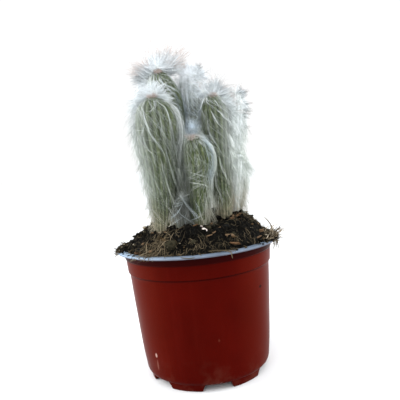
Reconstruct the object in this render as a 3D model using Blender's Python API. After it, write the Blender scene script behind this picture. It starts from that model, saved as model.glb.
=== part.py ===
"""Potted Peruvian old man cactus: a clump of eight woolly columnar stems in a
13 cm plastic nursery pot filled with potting mix.

Frame: metres, +Z up, origin at the centre of the pot's base, front is -Y.
All driving dimensions below are millimetres and are scaled once by MM.
"""
import math

import bmesh
import bpy
from mathutils import Vector, noise
from mathutils.bvhtree import BVHTree

MM = 0.001

# ---------------------------------------------------------------- dimensions
GAP = 0.35                 # clearance between touching pieces

POT_HEIGHT = 105.5         # floor to top of the lip
LIP_RADIUS = 65.0          # outer edge of the flat lip
LIP_THICKNESS = 1.5
MOUTH_RADIUS = 58.2        # inner edge of the lip
WALL = 1.2
NECK_TOP_RADIUS = 59.5     # plain band right under the lip
NECK_BOTTOM = 98.2
COLLAR_TOP_RADIUS = 58.4   # second band, ends in a step
COLLAR_BOTTOM = 87.2
COLLAR_BOTTOM_RADIUS = 57.6
FOOT_HEIGHT = 5.3
FOOT_RING_OUTER = 47.0
FOOT_RING_INNER = 43.0
FOOT_COUNT = 6
FIRST_GAP_AZIMUTH = 6.5    # degrees from the front towards +X
GAP_HALF_TOP = 11.5        # half opening of a gap in degrees
GAP_HALF_BOTTOM = 14.5
FLOOR_UNDERSIDE = 5.6
FLOOR_THICKNESS = 1.5
DRAIN_RADIUS = 4.2
DRAIN_CIRCLE = 33.0
POT_SEGMENTS = 48

SOIL_EDGE = 104.6          # height of the mix where it meets the wall
SOIL_RISE = 16.0           # how far the heap climbs above its edge
SOIL_SLOPE_WIDTH = 22.0    # width of the sloping belt inside the wall
SOIL_SEGMENTS = 40

STEM_BURIED = 14.0         # length of each stem below the surface

# A stem: its centre line as (x, y, z) stations from the soil up to the apex,
# its body radius as (z, r) stations up to the shoulder, where the dome starts.
STEMS = {
    "stem_front_left": dict(
        line=[(-24, -22, 118), (-22.6, -21.1, 141), (-21.8, -20.2, 165), (-21.6, -19.4, 185), (-22.2, -18.7, 205), (-22.8, -18, 222)],
        radii=[(104, 6.6), (118, 7.3), (130, 7.9), (141, 9.3), (153, 10.9), (165, 12.2), (176, 13.7), (186, 15.2), (196, 15.9), (201, 15.7)],
        ribs=18, tuft=(8.5, 14.0, 2.5, 0.0)),
    "stem_front_small": dict(
        line=[(3, -27, 122), (3.6, -27.6, 136), (4.3, -28, 147), (5, -28.5, 157), (6.6, -29, 166), (6.4, -29.4, 177), (4.2, -30, 190)],
        radii=[(108, 6.2), (122, 7.3), (136, 8.5), (146, 8.9), (156, 8.7), (164, 10.2), (171, 10.7), (173, 10.6)],
        ribs=16, tuft=(5.0, 6.5, 0.3, -0.5)),
    "stem_right": dict(
        line=[(23, -7.8, 127), (23.6, -6.9, 153), (23.2, -6.2, 168), (22.8, -5.5, 186), (23.8, -4.7, 204), (23, -4, 221)],
        radii=[(112, 6.2), (126, 7.0), (134, 7.4), (153, 7.9), (165, 8.7), (178, 10.1), (190, 11.5), (199, 11.6)],
        ribs=16, tuft=(7.5, 10.5, 1.5, 0.0)),
    "stem_back_right": dict(
        line=[(32, 24, 124), (33.8, 21.4, 150), (35.9, 19.2, 175), (38.2, 17.6, 192), (40.5, 16, 208), (43.2, 14.6, 223)],
        radii=[(110, 6.0), (124, 7.2), (150, 8.1), (176, 8.7), (192, 8.7), (206, 8.6)],
        ribs=14, tuft=(5.5, 5.5, 1.0, 0.0)),
    "stem_low_right": dict(
        line=[(33.2, 4.0, 125), (34.6, 3.6, 139), (36.6, 3.4, 151), (38.2, 3.6, 162), (40.4, 4, 172.5)],
        radii=[(112, 4.4), (125, 5.2), (139, 6.1), (151, 6.4), (160, 6.3)],
        ribs=12, tuft=(4.0, 4.0, 0.8, 0.0)),
    "stem_back_left": dict(
        line=[(-15, 12, 122), (-14.5, 12, 164), (-14.0, 12.6, 188), (-14.4, 13.2, 208), (-16.2, 13.7, 228), (-18.6, 14.2, 245)],
        radii=[(108, 7.5), (124, 9.0), (140, 9.4), (164, 10.4), (188, 12.6), (208, 14.7), (220, 14.8)],
        ribs=18, tuft=(11.0, 17.5, 2.0, 0.0)),
    "stem_back_centre": dict(
        line=[(6, 26, 122), (6, 26.4, 160), (6.6, 27.4, 187), (7.2, 28.6, 212), (7.4, 29, 232), (8.2, 29.2, 247)],
        radii=[(108, 6.8), (124, 8.0), (160, 9.0), (187, 9.6), (212, 10.8), (229, 10.8)],
        ribs=16, tuft=(6.5, 6.0, 0.5, 0.0)),
    "pup_front": dict(
        line=[(-9.4, -36.4, 119), (-9.0, -36.2, 130), (-8.6, -36, 144)],
        radii=[(106, 3.4), (118, 4.6), (127, 5.3), (134, 5.1)],
        ribs=10, tuft=(3.0, 3.0, 0.3, -0.3)),
}
RIB_DEPTH = 0.075          # rib height as a share of the radius


# -------------------------------------------------------------------- helpers
def clear_scene():
    for ob in list(bpy.data.objects):
        bpy.data.objects.remove(ob, do_unlink=True)


def principled(name, colour, roughness, metallic=0.0):
    mat = bpy.data.materials.new(name)
    mat.use_nodes = True
    bsdf = next(n for n in mat.node_tree.nodes if n.type == "BSDF_PRINCIPLED")
    bsdf.inputs["Base Color"].default_value = (*colour, 1.0)
    bsdf.inputs["Roughness"].default_value = roughness
    bsdf.inputs["Metallic"].default_value = metallic
    mat.diffuse_color = (*colour, 1.0)
    return mat


def new_object(name, bm, mat=None, smooth=True):
    bmesh.ops.recalc_face_normals(bm, faces=bm.faces[:])
    mesh = bpy.data.meshes.new(name)
    bm.to_mesh(mesh)
    bm.free()
    if smooth:
        mesh.shade_smooth()
        mesh.set_sharp_from_angle(angle=math.radians(40))
    ob = bpy.data.objects.new(name, mesh)
    bpy.context.scene.collection.objects.link(ob)
    if mat is not None:
        mesh.materials.append(mat)
    return ob


def as_cutter(ob):
    ob.hide_render = True
    ob.display_type = "WIRE"
    return ob


def cut(target, cutter, name):
    mod = target.modifiers.new(name, "BOOLEAN")
    mod.operation = "DIFFERENCE"
    mod.solver = "EXACT"
    mod.object = cutter
    return mod


def smooth_curve(points, key, value):
    """Smooth value at key along stations points = [(key, value), ...]."""
    if key <= points[0][0]:
        return points[0][1]
    if key >= points[-1][0]:
        return points[-1][1]
    for i in range(len(points) - 1):
        k0, v0 = points[i]
        k1, v1 = points[i + 1]
        if k0 <= key <= k1:
            kp, vp = points[i - 1] if i > 0 else (2 * k0 - k1, 2 * v0 - v1)
            kn, vn = points[i + 2] if i + 2 < len(points) else (2 * k1 - k0, 2 * v1 - v0)
            m0 = (v1 - vp) / (k1 - kp)
            m1 = (vn - v0) / (kn - k0)
            h = k1 - k0
            t = (key - k0) / h
            return ((2 * t ** 3 - 3 * t ** 2 + 1) * v0 + (t ** 3 - 2 * t ** 2 + t) * h * m0
                    + (-2 * t ** 3 + 3 * t ** 2) * v1 + (t ** 3 - t ** 2) * h * m1)
    return value


def lofted(rings, sides_closed=True):
    """Closed skin through rings of equal length; a ring of one point is a pole."""
    bm = bmesh.new()
    rows = [[bm.verts.new(Vector(p) * MM) for p in ring] for ring in rings]
    for low, high in zip(rows, rows[1:]):
        n = max(len(low), len(high))
        for i in range(n):
            j = (i + 1) % n
            if len(low) == 1:
                bm.faces.new((low[0], high[j], high[i]))
            elif len(high) == 1:
                bm.faces.new((low[i], low[j], high[0]))
            else:
                bm.faces.new((low[i], low[j], high[j], high[i]))
    return bm


# ------------------------------------------------------------------------ pot
def pot_wall_radius(z):
    """Outer radius of the wall under the collar."""
    return smooth_curve([(9, 50.3), (19, 51.5), (30, 52.6), (52, 54.2), (69, 55.4), (86, 56.4)], z, 56.4)


def pot_outline():
    """Closed section of the pot: down the outside, back up the inside."""
    lip_under = POT_HEIGHT - LIP_THICKNESS
    outside = [
        (MOUTH_RADIUS, POT_HEIGHT), (LIP_RADIUS - 0.6, POT_HEIGHT), (LIP_RADIUS, POT_HEIGHT - 0.5),
        (LIP_RADIUS, lip_under + 0.4), (LIP_RADIUS - 0.5, lip_under), (NECK_TOP_RADIUS + 0.5, lip_under),
        (NECK_TOP_RADIUS, lip_under - 0.5), (59.05, NECK_BOTTOM + 0.3), (COLLAR_TOP_RADIUS, NECK_BOTTOM - 0.3),
        (COLLAR_BOTTOM_RADIUS, COLLAR_BOTTOM + 0.3), (COLLAR_BOTTOM_RADIUS - 0.3, COLLAR_BOTTOM),
        (56.5, COLLAR_BOTTOM - 0.5),
    ]
    for z in (79, 58, 34, 18, 9):
        outside.append((pot_wall_radius(z), z))
    outside += [(49.6, 7.0), (48.6, 5.8), (48.1, FOOT_HEIGHT - 0.3), (FOOT_RING_OUTER, 0.0),
                (FOOT_RING_INNER, 0.0), (FOOT_RING_INNER - 0.5, FLOOR_UNDERSIDE),
                (DRAIN_RADIUS, FLOOR_UNDERSIDE), (DRAIN_RADIUS, FLOOR_UNDERSIDE + FLOOR_THICKNESS)]
    inside = [(47.2, FLOOR_UNDERSIDE + FLOOR_THICKNESS), (pot_wall_radius(9) - WALL, 9.8)]
    for z in (18, 34, 58, 79):
        inside.append((pot_wall_radius(z) - WALL, z))
    inside += [(56.5 - WALL, COLLAR_BOTTOM - 0.2), (COLLAR_BOTTOM_RADIUS - WALL, COLLAR_BOTTOM + 0.9),
               (COLLAR_TOP_RADIUS - WALL, NECK_BOTTOM), (MOUTH_RADIUS, POT_HEIGHT - 3.0)]
    return outside + inside


def make_pot(mat):
    mesh = bpy.data.meshes.new("pot")
    pts = pot_outline()
    n = len(pts)
    mesh.from_pydata([(r * MM, 0.0, z * MM) for r, z in pts], [(i, (i + 1) % n) for i in range(n)], [])
    pot = bpy.data.objects.new("pot", mesh)
    bpy.context.scene.collection.objects.link(pot)
    mesh.materials.append(mat)
    turn = pot.modifiers.new("turned", "SCREW")
    turn.axis = "Z"
    turn.angle = math.tau
    turn.steps = POT_SEGMENTS
    turn.render_steps = POT_SEGMENTS
    turn.use_merge_vertices = True
    turn.merge_threshold = 0.00001
    turn.use_smooth_shade = True

    # gaps between the feet: six wedges, wider at the ground
    bm = bmesh.new()
    for k in range(FOOT_COUNT):
        mid = math.radians(FIRST_GAP_AZIMUTH + 360.0 / FOOT_COUNT * k)
        corners = []
        for z, half in ((-2.0, GAP_HALF_BOTTOM + 0.8), (FOOT_HEIGHT, GAP_HALF_TOP)):
            for radius in (38.0, 54.0):
                for side in (-1, 1):
                    a = mid + side * math.radians(half)
                    corners.append(bm.verts.new((radius * math.sin(a) * MM, -radius * math.cos(a) * MM, z * MM)))
        a0, a1, b0, b1, c0, c1, d0, d1 = corners
        for quad in ((a0, a1, b1, b0), (c0, d0, d1, c1), (a0, c0, c1, a1), (b0, b1, d1, d0),
                     (a0, b0, d0, c0), (a1, c1, d1, b1)):
            bm.faces.new(quad)
    gaps = as_cutter(new_object("foot_gap_cutter", bm, smooth=False))
    cut(pot, gaps, "foot gaps")

    # drain holes through the floor, one in line with each gap
    bm = bmesh.new()
    for k in range(FOOT_COUNT):
        a = math.radians(FIRST_GAP_AZIMUTH + 360.0 / FOOT_COUNT * k)
        made = bmesh.ops.create_cone(bm, cap_ends=True, segments=12, radius1=DRAIN_RADIUS * MM,
                                     radius2=DRAIN_RADIUS * MM, depth=8 * MM)
        bmesh.ops.translate(bm, verts=made["verts"],
                            vec=(DRAIN_CIRCLE * math.sin(a) * MM, -DRAIN_CIRCLE * math.cos(a) * MM, 7 * MM))
    drains = as_cutter(new_object("drain_cutter", bm, smooth=False))
    cut(pot, drains, "drain holes")
    return pot


# ----------------------------------------------------------------------- stems
def stem_centre(spec, z):
    line = spec["line"]
    x = smooth_curve([(p[2], p[0]) for p in line], z, line[-1][0])
    y = smooth_curve([(p[2], p[1]) for p in line], z, line[-1][1])
    return x, y


def stem_radius(spec, z):
    radii = spec["radii"]
    shoulder, shoulder_r = radii[-1]
    apex = spec["line"][-1][2]
    if z <= shoulder:
        return smooth_curve(radii, z, shoulder_r)
    t = min(1.0, (z - shoulder) / (apex - shoulder))
    return shoulder_r * math.sqrt(max(0.0, 1.0 - t * t))


def stem_levels(spec, spacing=14.0):
    """Heights of the rings: even up the column, closer together over the dome."""
    low = spec["radii"][0][0]
    shoulder = spec["radii"][-1][0]
    apex = spec["line"][-1][2]
    count = max(4, round((shoulder - low) / spacing))
    levels = [low + (shoulder - low) * i / count for i in range(count + 1)]
    levels += [shoulder + (apex - shoulder) * math.sin(a) for a in (0.5, 0.95, 1.3)]
    return levels


def make_stem(name, spec, mat):
    ribs = spec["ribs"]
    sides = ribs * 2
    soil_line = spec["line"][0][2]
    rings = []
    low = spec["radii"][0][0]
    x, y = stem_centre(spec, low)
    rings.append([(x, y, low - 2.2)])
    for z in stem_levels(spec):
        x, y = stem_centre(spec, z)
        r = stem_radius(spec, z)
        depth = RIB_DEPTH * min(1.0, max(0.0, (z - soil_line + 4.0) / 14.0))
        ring = []
        for i in range(sides):
            a = math.tau * i / sides
            rr = r * (1.0 - (depth if i % 2 else 0.0))
            ring.append((x + rr * math.sin(a), y - rr * math.cos(a), z))
        rings.append(ring)
    rings.append([spec["line"][-1]])
    return new_object(name, lofted(rings), mat)


def stem_socket(name, spec):
    """The stem's lower end, grown by the clearance: cuts its seat in the soil."""
    sides = 16
    grow = 1.0 / math.cos(math.pi / sides)
    low = spec["radii"][0][0]
    top = spec["line"][0][2] + 14.0
    rings = []
    x, y = stem_centre(spec, low)
    rings.append([(x, y, low - 2.2 - GAP - 0.3)])
    count = 6
    for i in range(count + 1):
        z = low + (top - low) * i / count
        x, y = stem_centre(spec, z)
        r = (stem_radius(spec, z) + GAP + 0.12) * grow
        rings.append([(x + r * math.sin(math.tau * k / sides), y - r * math.cos(math.tau * k / sides),
                       z - (GAP + 0.2 if i == 0 else 0.0)) for k in range(sides)])
    x, y = stem_centre(spec, top)
    rings.append([(x, y, top + 2.0)])
    return as_cutter(new_object(name + "_socket", lofted(rings), smooth=False))


def make_tuft(name, spec, mat):
    """Soft cap of crown wool: hollow below to sit over the dome of its stem."""
    half_width, height, lean_x, lean_y = spec["tuft"]
    apex = Vector(spec["line"][-1])
    shoulder, shoulder_r = spec["radii"][-1]
    sides = 14
    rings = []
    # hollow underside, following the dome with the clearance
    under = [apex.z + GAP + 0.25]
    rings.append([(apex.x, apex.y, under[0])])
    dome = apex.z - shoulder
    for share in (0.6, 1.0):
        r = half_width * share
        t = math.sqrt(max(0.0, 1.0 - (r / shoulder_r) ** 2))
        z = shoulder + dome * t
        x, y = stem_centre(spec, min(z, apex.z))
        rings.append([(x + (r + 0.2) * math.sin(math.tau * k / sides), y - (r + 0.2) * math.cos(math.tau * k / sides),
                       z + GAP + 0.95) for k in range(sides)])
    # outside, swelling a little and closing in a leaning tip
    base_z = rings[-1][0][2]
    base_x, base_y = stem_centre(spec, min(base_z, apex.z))
    top_z = apex.z + height
    for up, swell in ((0.12, 1.16), (0.36, 1.14), (0.68, 0.80), (0.91, 0.36)):
        z = base_z + (top_z - base_z) * up
        r = half_width * swell
        rings.append([(base_x + lean_x * up + r * math.sin(math.tau * k / sides),
                       base_y + lean_y * up - r * math.cos(math.tau * k / sides), z) for k in range(sides)])
    rings.append([(base_x + lean_x, base_y + lean_y, top_z)])
    return new_object(name, lofted(rings), mat)


# ------------------------------------------------------------------------ soil
def soil_height(x, y):
    """Heaped surface of the potting mix, in millimetres."""
    rho = math.hypot(x, y)
    t = min(1.0, max(0.0, (57.9 - rho) / SOIL_SLOPE_WIDTH))
    belt = 1.0 - (1.0 - t) ** 2
    z = SOIL_EDGE + SOIL_RISE * belt
    z += 3.0 * max(0.0, 1.0 - rho / 36.0)
    z += 0.05 * x * belt
    z += 3.5 * belt * math.exp(-((x - 28.0) ** 2 + (y - 5.0) ** 2) / 18.0 ** 2)
    z += 1.5 * belt * noise.noise(Vector((x * 0.13, y * 0.13, 4.7)))
    z += 0.7 * belt * noise.noise(Vector((x * 0.34, y * 0.34, 9.1)))
    return z


def make_soil(mat, sockets):
    n = SOIL_SEGMENTS

    def ring(r, z=None):
        out = []
        for k in range(n):
            a = math.tau * k / n
            x, y = r * math.sin(a), -r * math.cos(a)
            out.append((x, y, soil_height(x, y) if z is None else z))
        return out

    fit = GAP
    seat = FLOOR_UNDERSIDE + FLOOR_THICKNESS + fit
    # the wall is a 48-sided turning, so the fill keeps clear of its flats
    flat = math.cos(math.pi / POT_SEGMENTS)
    rows = [[(0.0, 0.0, seat)], ring(24.0, seat), ring((47.2 - fit) * flat - 0.5, seat)]
    for z in (10.6, 30, 64):
        rows.append(ring((pot_wall_radius(max(z - 0.8, 9)) - WALL - fit) * flat, z))
    rows.append(ring((56.5 - WALL - fit) * flat, COLLAR_BOTTOM - 0.2))
    rows.append(ring((COLLAR_BOTTOM_RADIUS - WALL - fit) * flat, COLLAR_BOTTOM + 1.4))
    rows.append(ring((COLLAR_TOP_RADIUS - WALL - fit) * flat, NECK_BOTTOM + 0.4))
    edge = (MOUTH_RADIUS - fit) * flat
    rows.append(ring(edge, POT_HEIGHT - 2.6))
    rows.append(ring(edge, SOIL_EDGE))
    for r in (54.5, 50.5, 46.0, 41.0, 35.5, 29.0, 22.0, 14.5, 7.0):
        rows.append(ring(r))
    rows.append([(0.0, 0.0, soil_height(0.0, 0.0))])
    soil = new_object("soil", lofted(rows), mat)
    for socket in sockets:
        cut(soil, socket, socket.name)
    return soil


# ---------------------------------------------------------------- loose pieces
def grain(radius, squash, seed, subdivisions=1):
    """Irregular lump: a small icosphere pushed in and out by seeded noise."""
    bm = bmesh.new()
    bmesh.ops.create_icosphere(bm, subdivisions=subdivisions, radius=radius * MM)
    for v in bm.verts:
        d = v.co.normalized()
        k = 1.0 + 0.28 * noise.noise(d * 1.7 + Vector((seed, seed * 0.3, 1.0)))
        v.co = Vector((v.co.x * k, v.co.y * k * squash[0], v.co.z * k * squash[1]))
    return bm


def chip(length, width, thickness, seed):
    """Flat splinter of bark: a tapered, slightly curved six-sided slab."""
    rings = []
    for i, share in enumerate((0.0, 0.3, 0.7, 1.0)):
        x = length * (share - 0.5)
        w = width * (0.45, 1.0, 0.9, 0.35)[i]
        t = thickness * (0.6, 1.0, 1.0, 0.5)[i]
        bow = 0.8 * math.sin(math.pi * share) + 0.4 * noise.noise(Vector((seed, share * 3.0, 0.0)))
        rings.append([(x, w * 0.5 * math.cos(a), t * 0.5 * math.sin(a) + bow)
                      for a in (math.tau * k / 6 for k in range(6))])
    first = [tuple(sum(c) / 6 for c in zip(*rings[0]))]
    last = [tuple(sum(c) / 6 for c in zip(*rings[-1]))]
    return lofted([first] + rings + [last])


def rod(points, radius, sides=6):
    """Thin round stalk through points, with closed tips."""
    line = [Vector(p) for p in points]
    rings = [[tuple(line[0])]]
    for i, p in enumerate(line):
        ahead = line[min(i + 1, len(line) - 1)] - line[max(i - 1, 0)]
        side = ahead.cross(Vector((0, 0, 1))).normalized()
        up = side.cross(ahead).normalized()
        taper = 0.55 if i in (0, len(line) - 1) else 1.0
        q = p + ahead.normalized() * (0.2 if i == 0 else -0.2 if i == len(line) - 1 else 0.0)
        rings.append([tuple(q + (side * math.cos(math.tau * k / sides) + up * math.sin(math.tau * k / sides))
                            * radius * taper) for k in range(sides)])
    rings.append([tuple(line[-1])])
    return lofted(rings)


def place(ob, x, y, turn, tilt=0.0):
    ob.location = (x * MM, y * MM, 0.0)
    ob.rotation_euler = (0.0, math.radians(tilt), math.radians(turn))


def settle(ob, supports, extra=0.0):
    """Lower a loose piece until its lowest clearance over the supports is GAP."""
    bpy.context.view_layer.update()
    lift = -1.0e9
    mesh = ob.data
    points = [ob.matrix_world @ v.co for v in mesh.vertices]
    for e in mesh.edges:
        a, b = points[e.vertices[0]], points[e.vertices[1]]
        points.append((a + b) * 0.5)
    for p in points:
        for tree in supports:
            hit = tree.ray_cast(Vector((p.x, p.y, 1.0)), Vector((0, 0, -1)))
            if hit[0] is not None:
                lift = max(lift, hit[0].z - p.z)
    ob.location.z += lift + (GAP + 0.15 + extra) * MM


def evaluated_tree(ob):
    bpy.context.view_layer.update()
    return BVHTree.FromObject(ob, bpy.context.evaluated_depsgraph_get())


# ----------------------------------------------------------------------- build
def build():
    clear_scene()
    terracotta = principled("terracotta_plastic", (0.19, 0.022, 0.010), 0.32)
    potting_mix = principled("potting_mix", (0.030, 0.022, 0.016), 0.95)
    skin = principled("cactus_skin", (0.13, 0.19, 0.075), 0.6)
    young_skin = principled("young_skin", (0.17, 0.24, 0.09), 0.6)
    wool = principled("white_wool", (0.78, 0.80, 0.82), 0.85)
    perlite = principled("perlite", (0.80, 0.76, 0.70), 0.9)
    bark = principled("bark", (0.20, 0.085, 0.035), 0.85)
    dry_straw = principled("dry_straw", (0.42, 0.33, 0.20), 0.8)
    peat = principled("peat", (0.10, 0.095, 0.085), 0.95)

    pot = make_pot(terracotta)

    sockets = []
    for name, spec in STEMS.items():
        young = name in ("pup_front", "stem_front_small")
        make_stem(name, spec, young_skin if young else skin)
        sockets.append(stem_socket(name, spec))
        make_tuft("crown_wool_" + name.replace("stem_", ""), spec, wool)

    soil = make_soil(potting_mix, sockets)
    ground = evaluated_tree(soil)
    lip = evaluated_tree(pot)

    loose = [
        ("perlite_grain_upper", grain(1.5, (0.75, 0.65), 2.0), perlite, 5.6, -42.2, 20, 0),
        ("perlite_grain_lower", grain(1.7, (0.7, 0.6), 5.0), perlite, 8.4, -47.6, -25, 0),
        ("peat_clump", grain(3.4, (0.75, 0.6), 3.0), peat, -18.6, -49.0, 15, 0),
        ("bark_chip_left", chip(6.0, 3.4, 1.5, 1.0), bark, -43.5, -36.5, 40, 6),
        ("bark_chip_front", chip(7.5, 3.0, 1.4, 6.0), bark, 27.5, -47.8, 8, 0),
        ("bark_chip_right", chip(6.5, 2.8, 1.3, 11.0), bark, 49.5, -20.0, 62, 8),
    ]
    for name, bm, mat, x, y, turn, tilt in loose:
        ob = new_object(name, bm, mat)
        place(ob, x, y, turn, tilt)
        settle(ob, (ground,))

    straws = [
        ("fibre_left", [(-33.5, -49.6, 0), (-30.0, -51.8, 1.0), (-26.0, -52.6, 0.8), (-22.0, -53.6, 0.0)], 0.7),
        ("straw_over_lip", [(10.0, -54.0, 1.2), (13.0, -56.5, 0.6), (16.5, -59.0, 0.1), (20.5, -60.6, 0.0), (24.0, -61.4, 0.3)], 0.8),
        ("twig_right", [(60.6, -6.0, 0.0), (59.6, 0.0, 0.4), (58.2, 6.5, 1.2), (57.0, 13.0, 1.8)], 1.1),
    ]
    for name, points, radius in straws:
        ob = new_object(name, rod(points, radius), dry_straw if name != "twig_right" else bark)
        settle(ob, (ground, lip))


build()
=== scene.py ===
"""Looks of the potted old man cactus: glossy moulded pot, crumbly potting mix,
ribbed green stems and their long white hair. All lengths in the tables are
millimetres in the frame of the CAD model; meshes are built in metres."""
import math

import bmesh
import bpy
import numpy as np
from mathutils import Matrix, Vector, noise


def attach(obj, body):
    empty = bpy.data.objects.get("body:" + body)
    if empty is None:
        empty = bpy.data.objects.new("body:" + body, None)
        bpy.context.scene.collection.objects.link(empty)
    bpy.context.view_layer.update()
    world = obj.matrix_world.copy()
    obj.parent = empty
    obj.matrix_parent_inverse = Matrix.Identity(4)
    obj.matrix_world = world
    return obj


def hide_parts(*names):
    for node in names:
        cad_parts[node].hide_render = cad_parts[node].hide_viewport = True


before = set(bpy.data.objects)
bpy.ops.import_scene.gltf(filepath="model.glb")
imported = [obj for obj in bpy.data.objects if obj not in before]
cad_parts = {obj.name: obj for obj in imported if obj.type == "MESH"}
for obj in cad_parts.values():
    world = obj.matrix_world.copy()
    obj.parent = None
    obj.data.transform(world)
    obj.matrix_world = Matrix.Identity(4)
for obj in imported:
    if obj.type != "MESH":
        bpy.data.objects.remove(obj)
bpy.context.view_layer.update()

MM = 0.001
TAU = math.tau

# --------------------------------------------------------------------- tables
POT_HEIGHT = 105.5
LIP_RADIUS = 65.0
LIP_THICKNESS = 1.5
MOUTH_RADIUS = 58.2
WALL = 1.2
NECK_TOP_RADIUS = 59.5
NECK_BOTTOM = 98.2
COLLAR_TOP_RADIUS = 58.4
COLLAR_BOTTOM = 87.2
COLLAR_BOTTOM_RADIUS = 57.6
FOOT_HEIGHT = 5.3
FLOOR_UNDERSIDE = 5.6
FLOOR_THICKNESS = 1.5
FIRST_GAP_AZIMUTH = 6.5
GAP_HALF_TOP = 11.5
GAP_HALF_BOTTOM = 14.5
DRAIN_RADIUS = 4.2
DRAIN_CIRCLE = 33.0

LOOK_RIGHT = (0.99502649, -0.0232267, -0.09686488)
LOOK_UP = (0.09864215, 0.09448439, 0.99062729)
LOOK_AHEAD = (0.01385678, 0.99525535, -0.0963056)

SOIL_EDGE = 104.6
SOIL_RISE = 16.0
SOIL_SLOPE_WIDTH = 22.0

STEMS = {
    "stem_front_left": dict(
        line=[(-24, -22, 118), (-22.6, -21.1, 141), (-21.8, -20.2, 165), (-21.6, -19.4, 185), (-22.2, -18.7, 205), (-22.8, -18, 222)],
        radii=[(104, 6.6), (118, 7.3), (130, 7.9), (141, 9.3), (153, 10.9), (165, 12.2), (176, 13.7), (186, 15.2), (196, 15.9), (201, 15.7)],
        ribs=18),
    "stem_front_small": dict(
        line=[(3, -27, 122), (3.6, -27.6, 136), (4.3, -28, 147), (5, -28.5, 157), (6.6, -29, 166), (6.4, -29.4, 177), (4.2, -30, 190)],
        radii=[(108, 6.2), (122, 7.3), (136, 8.5), (146, 8.9), (156, 8.7), (164, 10.2), (171, 10.7), (173, 10.6)],
        ribs=16),
    "stem_right": dict(
        line=[(23, -7.8, 127), (23.6, -6.9, 153), (23.2, -6.2, 168), (22.8, -5.5, 186), (23.8, -4.7, 204), (23, -4, 221)],
        radii=[(112, 6.2), (126, 7.0), (134, 7.4), (153, 7.9), (165, 8.7), (178, 10.1), (190, 11.5), (199, 11.6)],
        ribs=16),
    "stem_back_right": dict(
        line=[(32, 24, 124), (33.8, 21.4, 150), (35.9, 19.2, 175), (38.2, 17.6, 192), (40.5, 16, 208), (43.2, 14.6, 223)],
        radii=[(110, 6.0), (124, 7.2), (150, 8.1), (176, 8.7), (192, 8.7), (206, 8.6)],
        ribs=14),
    "stem_low_right": dict(
        line=[(33.2, 4.0, 125), (34.6, 3.6, 139), (36.6, 3.4, 151), (38.2, 3.6, 162), (40.4, 4, 172.5)],
        radii=[(112, 4.4), (125, 5.2), (139, 6.1), (151, 6.4), (160, 6.3)],
        ribs=12),
    "stem_back_left": dict(
        line=[(-15, 12, 122), (-14.5, 12, 164), (-14.0, 12.6, 188), (-14.4, 13.2, 208), (-16.2, 13.7, 228), (-18.6, 14.2, 245)],
        radii=[(108, 7.5), (124, 9.0), (140, 9.4), (164, 10.4), (188, 12.6), (208, 14.7), (220, 14.8)],
        ribs=18),
    "stem_back_centre": dict(
        line=[(6, 26, 122), (6, 26.4, 160), (6.6, 27.4, 187), (7.2, 28.6, 212), (7.4, 29, 232), (8.2, 29.2, 247)],
        radii=[(108, 6.8), (124, 8.0), (160, 9.0), (187, 9.6), (212, 10.8), (229, 10.8)],
        ribs=16),
    "pup_front": dict(
        line=[(-9.4, -36.4, 119), (-9.0, -36.2, 130), (-8.6, -36, 144)],
        radii=[(106, 3.4), (118, 4.6), (127, 5.3), (134, 5.1)],
        ribs=10),
}


# -------------------------------------------------------------- shared helpers
def smooth_curve(points, key):
    if key <= points[0][0]:
        return points[0][1]
    if key >= points[-1][0]:
        return points[-1][1]
    for i in range(len(points) - 1):
        k0, v0 = points[i]
        k1, v1 = points[i + 1]
        if k0 <= key <= k1:
            kp, vp = points[i - 1] if i > 0 else (2 * k0 - k1, 2 * v0 - v1)
            kn, vn = points[i + 2] if i + 2 < len(points) else (2 * k1 - k0, 2 * v1 - v0)
            m0 = (v1 - vp) / (k1 - kp)
            m1 = (vn - v0) / (kn - k0)
            h = k1 - k0
            t = (key - k0) / h
            return ((2 * t ** 3 - 3 * t ** 2 + 1) * v0 + (t ** 3 - 2 * t ** 2 + t) * h * m0
                    + (-2 * t ** 3 + 3 * t ** 2) * v1 + (t ** 3 - t ** 2) * h * m1)


def soil_height(x, y):
    """The heap of the CAD model's mix."""
    rho = math.hypot(x, y)
    t = min(1.0, max(0.0, (57.9 - rho) / SOIL_SLOPE_WIDTH))
    belt = 1.0 - (1.0 - t) ** 2
    z = SOIL_EDGE + SOIL_RISE * belt
    z += 3.0 * max(0.0, 1.0 - rho / 36.0)
    z += 0.05 * x * belt
    z += 3.5 * belt * math.exp(-((x - 28.0) ** 2 + (y - 5.0) ** 2) / 18.0 ** 2)
    z += 1.5 * belt * noise.noise(Vector((x * 0.13, y * 0.13, 4.7)))
    z += 0.7 * belt * noise.noise(Vector((x * 0.34, y * 0.34, 9.1)))
    return z


def soil_lumps(x, y):
    """The same heap with its crumbs, clods and hollows."""
    rho = math.hypot(x, y)
    z = soil_height(x, y)
    edge = min(1.0, max(0.25, (60.0 - rho) / 6.0))
    z += 1.3 * edge * noise.noise(Vector((x * 0.22, y * 0.22, 1.3)))
    z += 1.0 * edge * noise.noise(Vector((x * 0.55, y * 0.55, 7.7)))
    z += 0.75 * edge * abs(noise.noise(Vector((x * 1.1, y * 1.1, 3.1))))
    z += 0.35 * edge * noise.noise(Vector((x * 2.3, y * 2.3, 5.9)))
    z += 7.0 * math.exp(-((x - 13.5) ** 2 + (y + 15.5) ** 2) / 5.2 ** 2)
    z += 3.6 * math.exp(-((x + 16.0) / 12.0) ** 2 - ((y + 33.0) / 8.5) ** 2)
    z += 5.6 * math.exp(-((x + 6.0) / 10.0) ** 2 - ((y + 43.5) / 5.5) ** 2)
    return z


def mesh_object(name, verts, faces, smooth=True, sharp=None):
    mesh = bpy.data.meshes.new(name)
    mesh.from_pydata(verts, [], faces)
    mesh.validate()
    if smooth:
        mesh.shade_smooth()
        if sharp is not None:
            mesh.set_sharp_from_angle(angle=math.radians(sharp))
    ob = bpy.data.objects.new(name, mesh)
    bpy.context.scene.collection.objects.link(ob)
    return ob


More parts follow.
